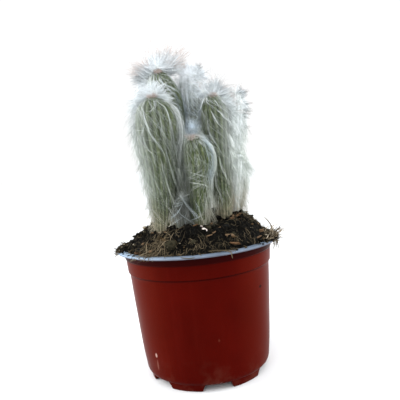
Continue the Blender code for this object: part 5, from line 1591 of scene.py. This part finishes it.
               (96, (8.4, 10.0, 231.8), (5.0, 17.0), 0.85, 0.058, 0.80, 0.46, -0.95, 0.0),
               (56, (-4.6, 17.0, 237.7), (3.0, 9.0), 0.85, 0.060, 0.56, 0.40, -0.95, 0.2),
               (54, (15.1, 20.0, 239.9), (6.0, 12.5), 0.85, 0.085, 0.50, 0.10, 0.15, 0.35)],
        crowns=[dict(at=(4.0, -25), clumps=70, kids=7, length=(0.65, 1.05), profile=((-90, 8), (0, 9), (90, 9.5), (180, 9), (270, 8)), ring=(0.2, 4.5), spread=100, front=0.6, up=(0, 0.1, 0.1), core=(2, 0.40), radius=0.12, shade=(0.8, 1.0), mess=0.2),
                dict(at=(12.0, 50), clumps=36, kids=7, length=(8, 12.0), ring=(0.5, 5.0), spread=90, front=1, up=(0, -0.2, 0.05), core=(3, 0.5), radius=0.11, shade=(0.5, 0.9)),
                dict(at=(1.0, 180), clumps=34, kids=7, length=(6, 10), ring=(1.0, 7.0), spread=100, front=0.8, up=(0.25, 0, 0.0), core=(2, 0.32), tips=0.5, gather=0.85, shade=(0.2, 0.5), mess=0.2)]),
    "pup_front": dict(
        cover=(0.6, 0.6, 0.8, 0.6), stand=(1.4, 1.4, 1.0, 1.4), felt=(0, 0, 0, 0), felt_to=0, aged=0.15, drift=0, patch=0.3,
        fuzz=200, fuzz_len=(4, 8), lines=4, locks=0, top=0.6, shade=(0.0, 0.10),
        crowns=[dict(at=(1.0, 0), clumps=18, kids=5, length=(3.5, 7.5), ring=(0.3, 1.6), spread=115, front=0.9, core=(0, 0), radius=0.07, droop=0.2, shade=(0.05, 0.5))],
        sprays=[dict(clumps=12, kids=5, q=(2, 12), a=(10, 80), length=(8, 15), out=0.45, down=0.9, side=0.6, radius=0.06, core=(0, 0), droop=0.2, shade=(0.0, 0.12)),
                dict(clumps=12, kids=5, q=(2, 12), a=(-80, -10), length=(8, 14), out=0.45, down=0.9, side=-0.5, radius=0.06, core=(0, 0), droop=0.2, shade=(0.0, 0.12))],
        stars=[(60, (-8.1, -43.4, 145.8), (2.0, 7.0), 0.7, 0.050, 0.8, 0.4, -0.9, 0.0)],
        loose=[(10, 0.048, 0.62, 0.9, ((-8.1, -43.0, 145.8), (-4.5, -43.4, 138.1), (-0.1, -42.0, 132.5), (3.8, -40.6, 127.2))),
               (6, 0.050, 0.55, 1.3, ((-8.1, -42.6, 145.4), (-5.2, -43.4, 139.1), (-1.4, -42.6, 133.0), (1.8, -41.0, 126.2))),
               (8, 0.048, 0.64, 0.9, ((-8.1, -43.0, 145.8), (-8.1, -43.2, 140.3), (-12.4, -43.0, 134.4), (-16.6, -42.0, 131.1), (-16.3, -41.4, 126.0))),
               (5, 0.050, 0.75, 0.5, ((-8.4, -42.6, 144.6), (-7.6, -43.4, 147.6), (-6.8, -44.0, 151.0))),
               (5, 0.050, 0.55, 0.6, ((-8.0, -42.6, 142.0), (-10.7, -43.8, 141.3), (-14.0, -43.4, 142.3))),
               (5, 0.050, 0.55, 0.6, ((-8.0, -42.6, 140.8), (-10.8, -43.8, 139.9), (-14.4, -43.4, 139.6))),
               (5, 0.050, 0.55, 0.7, ((-8.2, -42.6, 145.0), (-4.6, -44.0, 146.6), (-1.4, -43.6, 147.2))),
               (6, 0.048, 0.50, 1.4, ((-12.9, -42.5, 137.4), (-9.7, -43.0, 132.8), (-5.1, -42.5, 128.6), (0.3, -41.0, 123.4))),
               (5, 0.048, 0.48, 1.4, ((-3.7, -43.0, 127.8), (1.6, -42.0, 129.3), (6.2, -40.0, 131.6), (10.4, -37.0, 135.2))),
               (5, 0.048, 0.46, 1.5, ((-20.0, -43.0, 125.0), (-15.4, -43.0, 127.5), (-10.8, -43.0, 130.0), (-5.3, -42.5, 133.7))),
               (5, 0.048, 0.46, 1.3, ((6.3, -39.0, 124.7), (4.0, -41.0, 131.9), (2.4, -42.0, 138.1), (0.0, -42.0, 143.4))),
               (5, 0.048, 0.44, 1.4, ((-19.8, -44.0, 140.5), (-16.7, -44.0, 135.8), (-14.3, -43.5, 130.4), (-12.8, -42.5, 124.2))),
               (4, 0.048, 0.42, 1.2, ((-7.0, -42.5, 124.4), (-7.2, -43.0, 129.6), (-5.2, -43.0, 134.5), (-2.0, -43.0, 137.9))),
               (12, 0.050, 0.26, 1.7, ((-8.2, -37.5, 166.6), (-7.3, -39.0, 160.0), (-7.5, -41.0, 152.8), (-8.3, -43.0, 145.8))),
               (8, 0.050, 0.20, 1.3, ((-5.5, -38.0, 163.4), (-6.3, -40.0, 157.0), (-7.8, -42.0, 150.8), (-10.1, -43.0, 143.8)))]),
}


def make_coat(name, stem, coat, mat, seed):
    rng = np.random.RandomState(seed)
    parts = []
    usable = stem.soil_q
    drift = math.radians(coat["drift"])

    def lean(a):
        return drift * by_side(a, 1.0, 0.8, 0.5, coat.get("left_lean", 0.3), power=3)

    top = coat["top"]

    def weight(q, a):
        return by_margin(a, *coat["cover"], coat.get("edge", (40, 75))) * (1 + top * np.exp(-(q / 11.0) ** 2))

    def tone(a):
        # painted shade: the hair's brightness is dimmed by side
        dim = by_margin(a, *coat.get("painted_shade", (1, 1, 1, 1)), coat.get("edge", (40, 75)))
        low, high = coat.get("shade", (0.3, 1.0))
        return low * dim, high * dim

    # fuzz: short fine hair all over, standing off the skin
    n = coat["fuzz"]
    q0, a0 = scatter(stem, rng, n, 1.5, usable * 0.975, weight)
    high = np.clip(1 - q0 / usable, 0, 1)
    st = by_side(a0, *coat["stand"]) * (0.35 + 0.65 * high ** 0.7) * rng.uniform(0.2, 1.25, n)
    L = rng.uniform(*coat["fuzz_len"], n) * (0.8 + 0.2 * high)
    heading = rng.normal(size=n) * math.radians(1) * by_side(a0, 30, 16, 26, 12, power=4) + lean(a0)
    parts.append(draped(stem, rng, 4, q0, a0, L, heading, 0.30, st, rng.uniform(0.042, 0.075, n), shade=tone(a0), end_lift=coat.get("flick", 0.8)))
    # lines: a few strands side by side, lying down the ribs
    g = coat["lines"]
    q0, a0 = scatter(stem, rng, g, 2.0, usable * 0.85, lambda q, a: by_margin(a, *np.array(coat["cover"]) ** 0.75, coat.get("edge", (40, 75))) * (1 + 0.6 * top * np.exp(-(q / 14.0) ** 2)), 0.10)
    high = np.clip(1 - q0 / usable, 0, 1)
    L = np.minimum(rng.uniform(18.0, 42.0, g), usable - q0 + 2.0)
    heading = rng.normal(scale=math.radians(coat.get("cross", 10)), size=g) + lean(a0)
    st = 0.7 * by_side(a0, *coat["stand"]) * (0.4 + 0.6 * high) * rng.uniform(0.5, 1.2, g)
    parts.append(locks(stem, rng, 9, g, q0, a0, L, heading, st, 2, 0.5, 0.055, wander=0.18, shade=tone(a0)))
    # locks: bundles of long hair that leave the crown and cross the ribs
    g = coat["locks"]
    if g:
        q0 = usable * rng.uniform(0.01, 0.40, g) ** 1.3
        a0 = np.radians(rng.uniform(55, 290, g)) if "strands" in coat else rng.uniform(0, TAU, g)
        L = np.minimum(rng.uniform(26.0, 66.0, g), usable - q0 + 2.0)
        heading = rng.normal(scale=math.radians(10), size=g) + drift * 1.15
        st = by_side(a0, *coat["stand"]) * rng.uniform(0.7, 1.2, g)
        parts.append(locks(stem, rng, 14, g, q0, a0, L, heading, st, 5, 0.7, 0.060, wander=0.20, shade=coat.get("lock_shade", (0.6, 1.0))))
    if "strands" in coat:
        parts.append(guided(stem, rng, coat["strands"]))
    if "loose" in coat:
        parts.append(loose(rng, coat["loose"]))
    if "stars" in coat:
        parts.append(burst(rng, coat["stars"]))
    for c in coat["crowns"]:
        parts.append(crown(stem, rng, **c))
    for c in coat.get("sprays", ()):
        parts.append(spray(stem, rng, **c))
    ob, count = tubes(name + "_hair" if name.startswith("pup") else name.replace("stem_", "") + "_hair", parts, mat)
    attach(ob, "root")
    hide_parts("crown_wool_" + name.replace("stem_", ""))
    return count


# ------------------------------------------------------------------------ main
make_camera()
make_room()
pot = make_pot(pot_material())
mix = soil_material("potting_mix")
make_soil(mix)
crumb = soil_material("potting_crumbs", 1.5)
make_crumbs(crumb)
make_clod(crumb)
skins = {True: skin_material("young_skin", True), False: skin_material("grown_skin", False)}
hair = hair_material()
triangles = {}
for number, (name, spec) in enumerate(STEMS.items()):
    stem = Stem(spec)
    triangles[name] = make_skin(name, stem, skins[name in ("stem_front_small", "pup_front")], COATS[name])
    triangles[name + "_hair"] = make_coat(name, stem, COATS[name], hair, 100 + number)

make_grains(stone_material())
make_bark(bark_material())
make_straw(fibre_material())

print("triangles", sum(triangles.values()), triangles)
